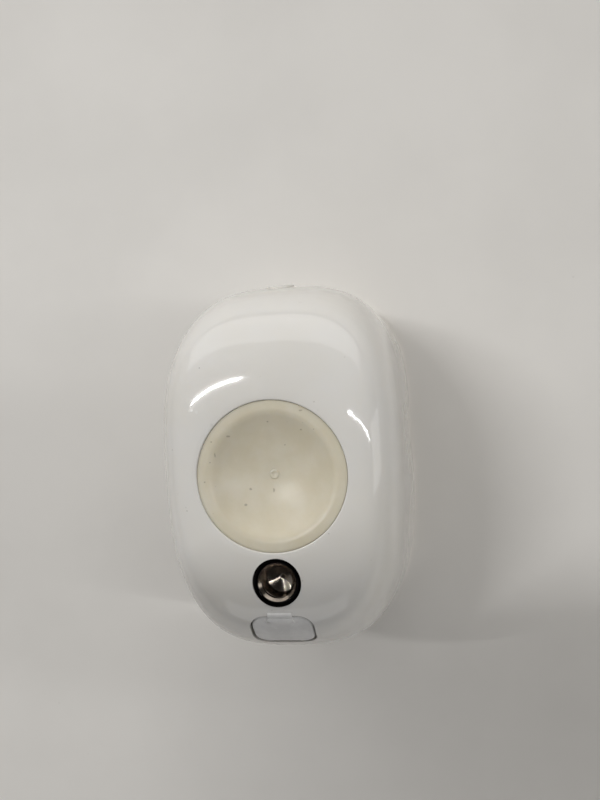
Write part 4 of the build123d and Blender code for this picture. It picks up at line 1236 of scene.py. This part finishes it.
@dataclass(frozen=True)
class TableTop(Finish):
    """Pale table top, clear from behind, under the face and to shadow rays: the face is seen and lit."""

    open_side: float = 20.5
    open_up: float = 36.0
    open_power: float = 4.0
    light: Colour = srgb(228, 225, 220)
    dark: Colour = srgb(222, 219, 214)
    dust: Colour = srgb(190, 185, 176)

    def look(self, s: Shader) -> Node:
        """Adds its nodes."""
        fine = s.noise(3.0, 3.0, 0.6)
        tint = s.mix(s.noise(60.0, 4.0, 0.55).ramp(0.3, 0.7), self.dark, self.light)
        dusty = s.mix(s.specks(9.0, (0.02, 0.045), 40.0, (0.5, 0.6)) * 0.2, tint, self.dust)
        top = s.surface(dusty, 0.55 + (fine - 0.5) * 0.1, s.relief(fine, 0.02))
        behind = Field(s, s.add("ShaderNodeNewGeometry").outputs["Backfacing"])
        shadow = Field(s, s.add("ShaderNodeLightPath").outputs["Is Shadow Ray"])
        x, _, z = s.place(spot(0, 0, 0))
        out = (x / self.open_side) ** self.open_power + (z / self.open_up) ** self.open_power
        away = behind.most(1 - out.ramp(0.98, 1.0)).most(shadow)
        nothing = s.add("ShaderNodeBsdfTransparent")
        return s.add("ShaderNodeMixShader", {}, {0: away, 1: top.outputs[0], 2: nothing.outputs[0]})


@dataclass
class Table:
    """The table under the camera's face: an upright plane. Half its side is in metres."""

    half: float = 0.9
    deep: float = -0.02

    def build(self) -> None:
        """Makes the plane."""
        mesh = bmesh.new()
        upright = Matrix.Translation(spot(0, self.deep, 0)) @ Matrix.Rotation(-math.pi / 2, 4, "X")
        bmesh.ops.create_grid(mesh, x_segments=2, y_segments=2, size=self.half, matrix=upright)
        table = settle(mesh, "table_top", TableTop("table_top").build())
        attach(table, Body.MODULE.value)
        LOG.info("table top at the face's depth, under the front module as the housing lifts off")


@dataclass(frozen=True)
class Card(Finish):
    """Dark card."""

    dark: Colour = srgb(30, 30, 32)
    light: Colour = srgb(40, 40, 42)

    def look(self, s: Shader) -> Node:
        """Adds its nodes."""
        return s.surface(s.mix(s.noise(20.0).ramp(0.3, 0.7), self.dark, self.light), 0.6)


@dataclass
class Flag:
    """A dark card behind the viewpoint, which shades the middle of the table. Its centre is in metres."""

    centre: Sequence[float] = (0.032, 0.182, 0.024)
    size: Sequence[float] = (150.0, 6.0, 64.0)
    bevel: float = 2.0

    def build(self) -> None:
        """Makes the card, which the viewpoint doesn't see."""
        mesh = bmesh.new()
        block(mesh, Vector(self.centre), self.size, self.bevel, 3)
        card = settle(mesh, "card", Card("card").build())
        card.visible_camera = False
        LOG.info("card behind the viewpoint")


def aimed(place: Sequence[float], back: Sequence[float], along: Sequence[float]) -> Matrix:
    """Where a lamp or a viewpoint stands and looks.

    Args:
        place: Its place in metres.
        back: The way from what it looks at to itself.
        along: The way of its long side, as near as its view lets it be.

    Returns:
        Its matrix.
    """
    away = Vector(back).normalized()
    side = (Vector(along) - Vector(along).dot(away) * away).normalized()
    return Matrix.Translation(Vector(place)) @ Matrix((side, away.cross(side), away)).transposed().to_4x4()


@dataclass
class Lamp:
    """A rectangular lamp that looks at one point. Its lengths are in metres and its power in watts."""

    name: str
    place: Sequence[float]
    size: Sequence[float]
    power: float
    colour: Colour = (1.0, 1.0, 1.0)
    along: Sequence[float] = (1.0, 0.0, 0.0)
    target: Sequence[float] = (0.0, 0.0, 0.02)
    glossy: bool = True
    diffuse: bool = True

    def build(self) -> None:
        """Makes the lamp with its long side along the given direction."""
        light = bpy.data.lights.new(self.name, "AREA")
        light.shape = "RECTANGLE"
        light.size, light.size_y = self.size
        light.energy = self.power
        light.color = self.colour
        lamp = bpy.data.objects.new(self.name, light)
        lamp.visible_glossy = self.glossy
        lamp.visible_diffuse = self.diffuse
        bpy.context.scene.collection.objects.link(lamp)
        lamp.matrix_world = aimed(self.place, Vector(self.place) - Vector(self.target), self.along)
        LOG.info("lamp %s, %.1f W", self.name, self.power)


@dataclass
class Tube:
    """A ceiling tube, placed by its streak on the shell: a point of it, and the ways to the tube's ends."""

    name: str
    point: Sequence[float]
    ways: Sequence[Sequence[float]]
    power: float
    width: float
    reach: float = 1.1

    def build(self) -> None:
        """Makes the tube's lamp."""
        first, last = (Vector(self.point) + self.reach * Vector(way) for way in self.ways)
        run = last - first
        size = (run.length, self.width)
        Lamp(self.name, (first + last) / 2, size, self.power, along=run, target=self.point).build()


# Ways from each streak to its tube's ends.
LEFT_WAYS = ((0.541, 0.822, 0.175), (0.245, 0.931, 0.27))
RIGHT_WAYS = ((-0.154, 0.983, 0.101), (-0.77, 0.635, -0.06))

LAMPS = (
    Tube("tube_left", (0.010, 0.0055, 0.0375), LEFT_WAYS, 3.7, 0.01),
    Tube("tube_right", (-0.0173, 0.0054, 0.0293), RIGHT_WAYS, 2.1, 0.017),
    Lamp("soft_top", (0.03, 0.395, 0.925), (2.2, 0.74), 6.5, (1.0, 0.985, 0.96)),
    Lamp("soft_left", (0.8, 0.75, 0.3), (1.5, 1.5), 2.3, (1.0, 0.99, 0.975)),
    Lamp("soft_right", (-0.9, 0.14, 0.0), (0.8, 0.22), 1.0, (1.0, 0.99, 0.97)),
    Lamp("soft_low", (0.05, 0.35, -0.75), (0.9, 0.4), 0.85, (1.0, 0.99, 0.98)),
    Lamp("soft_face", (0.0, -0.9, 0.019), (0.04, 0.04), 3.0, (1.0, 0.99, 0.98), glossy=False),
    Lamp("sheen_face", (-0.5, -0.75, -0.05), (0.55, 0.4), 0.25, diffuse=False),
)


@dataclass
class Studio:
    """World, lamps and the photograph's viewpoint."""

    seen: Colour = srgb(226, 224, 220)
    fill: Colour = srgb(238, 236, 232)
    fill_strength: float = 0.025
    lens: float = 40.545
    sensor: float = 36.0
    near: float = 0.005
    far: float = 20.0
    position: Sequence[float] = (-33.03, 238.16, 17.79)
    forward: Sequence[float] = (0.1575, -0.9874, -0.0122)
    right: Sequence[float] = (-0.9865, -0.1568, -0.0483)

    def world(self) -> None:
        """Pale surroundings, as the viewpoint sees them, and a weak fill for all other rays."""
        world = bpy.data.worlds.new("surroundings")
        world.use_nodes = True
        tree = world.node_tree
        tree.nodes.clear()
        out = tree.nodes.new("ShaderNodeOutputWorld")
        path = tree.nodes.new("ShaderNodeLightPath")
        mix = tree.nodes.new("ShaderNodeMixShader")
        tree.links.new(path.outputs["Is Camera Ray"], mix.inputs[0])
        for place, colour, strength in ((1, self.fill, self.fill_strength), (2, self.seen, 1.0)):
            background = tree.nodes.new("ShaderNodeBackground")
            background.inputs["Color"].default_value = (*colour, 1.0)
            background.inputs["Strength"].default_value = strength
            tree.links.new(background.outputs[0], mix.inputs[place])
        tree.links.new(mix.outputs[0], out.inputs["Surface"])
        bpy.context.scene.world = world

    def camera(self) -> None:
        """Sets the photograph's viewpoint."""
        data = bpy.data.cameras.new("viewpoint")
        data.lens = self.lens
        data.sensor_width = self.sensor
        data.clip_start = self.near
        data.clip_end = self.far
        camera = bpy.data.objects.new("viewpoint", data)
        bpy.context.scene.collection.objects.link(camera)
        camera.matrix_world = aimed(spot(*self.position), -Vector(self.forward), self.right)
        bpy.context.scene.camera = camera

    def build(self) -> None:
        """Makes the studio."""
        self.world()
        for lamp in LAMPS:
            lamp.build()
        self.camera()
        bpy.context.scene.view_settings.view_transform = "Standard"


def main() -> None:
    """Dresses the nodes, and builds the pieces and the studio."""
    logging.basicConfig(level=logging.INFO, format="%(name)s: %(message)s")
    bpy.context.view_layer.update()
    Studio().build()
    Table().build()
    Flag().build()
    shop = Workshop({finish.name: finish.build() for finish in FINISHES})
    shop.dress_nodes()
    for detail in DETAILS:
        detail.build(shop)
    LOG.info("%d pieces added", shop.made)


if __name__ == "__main__":
    main()
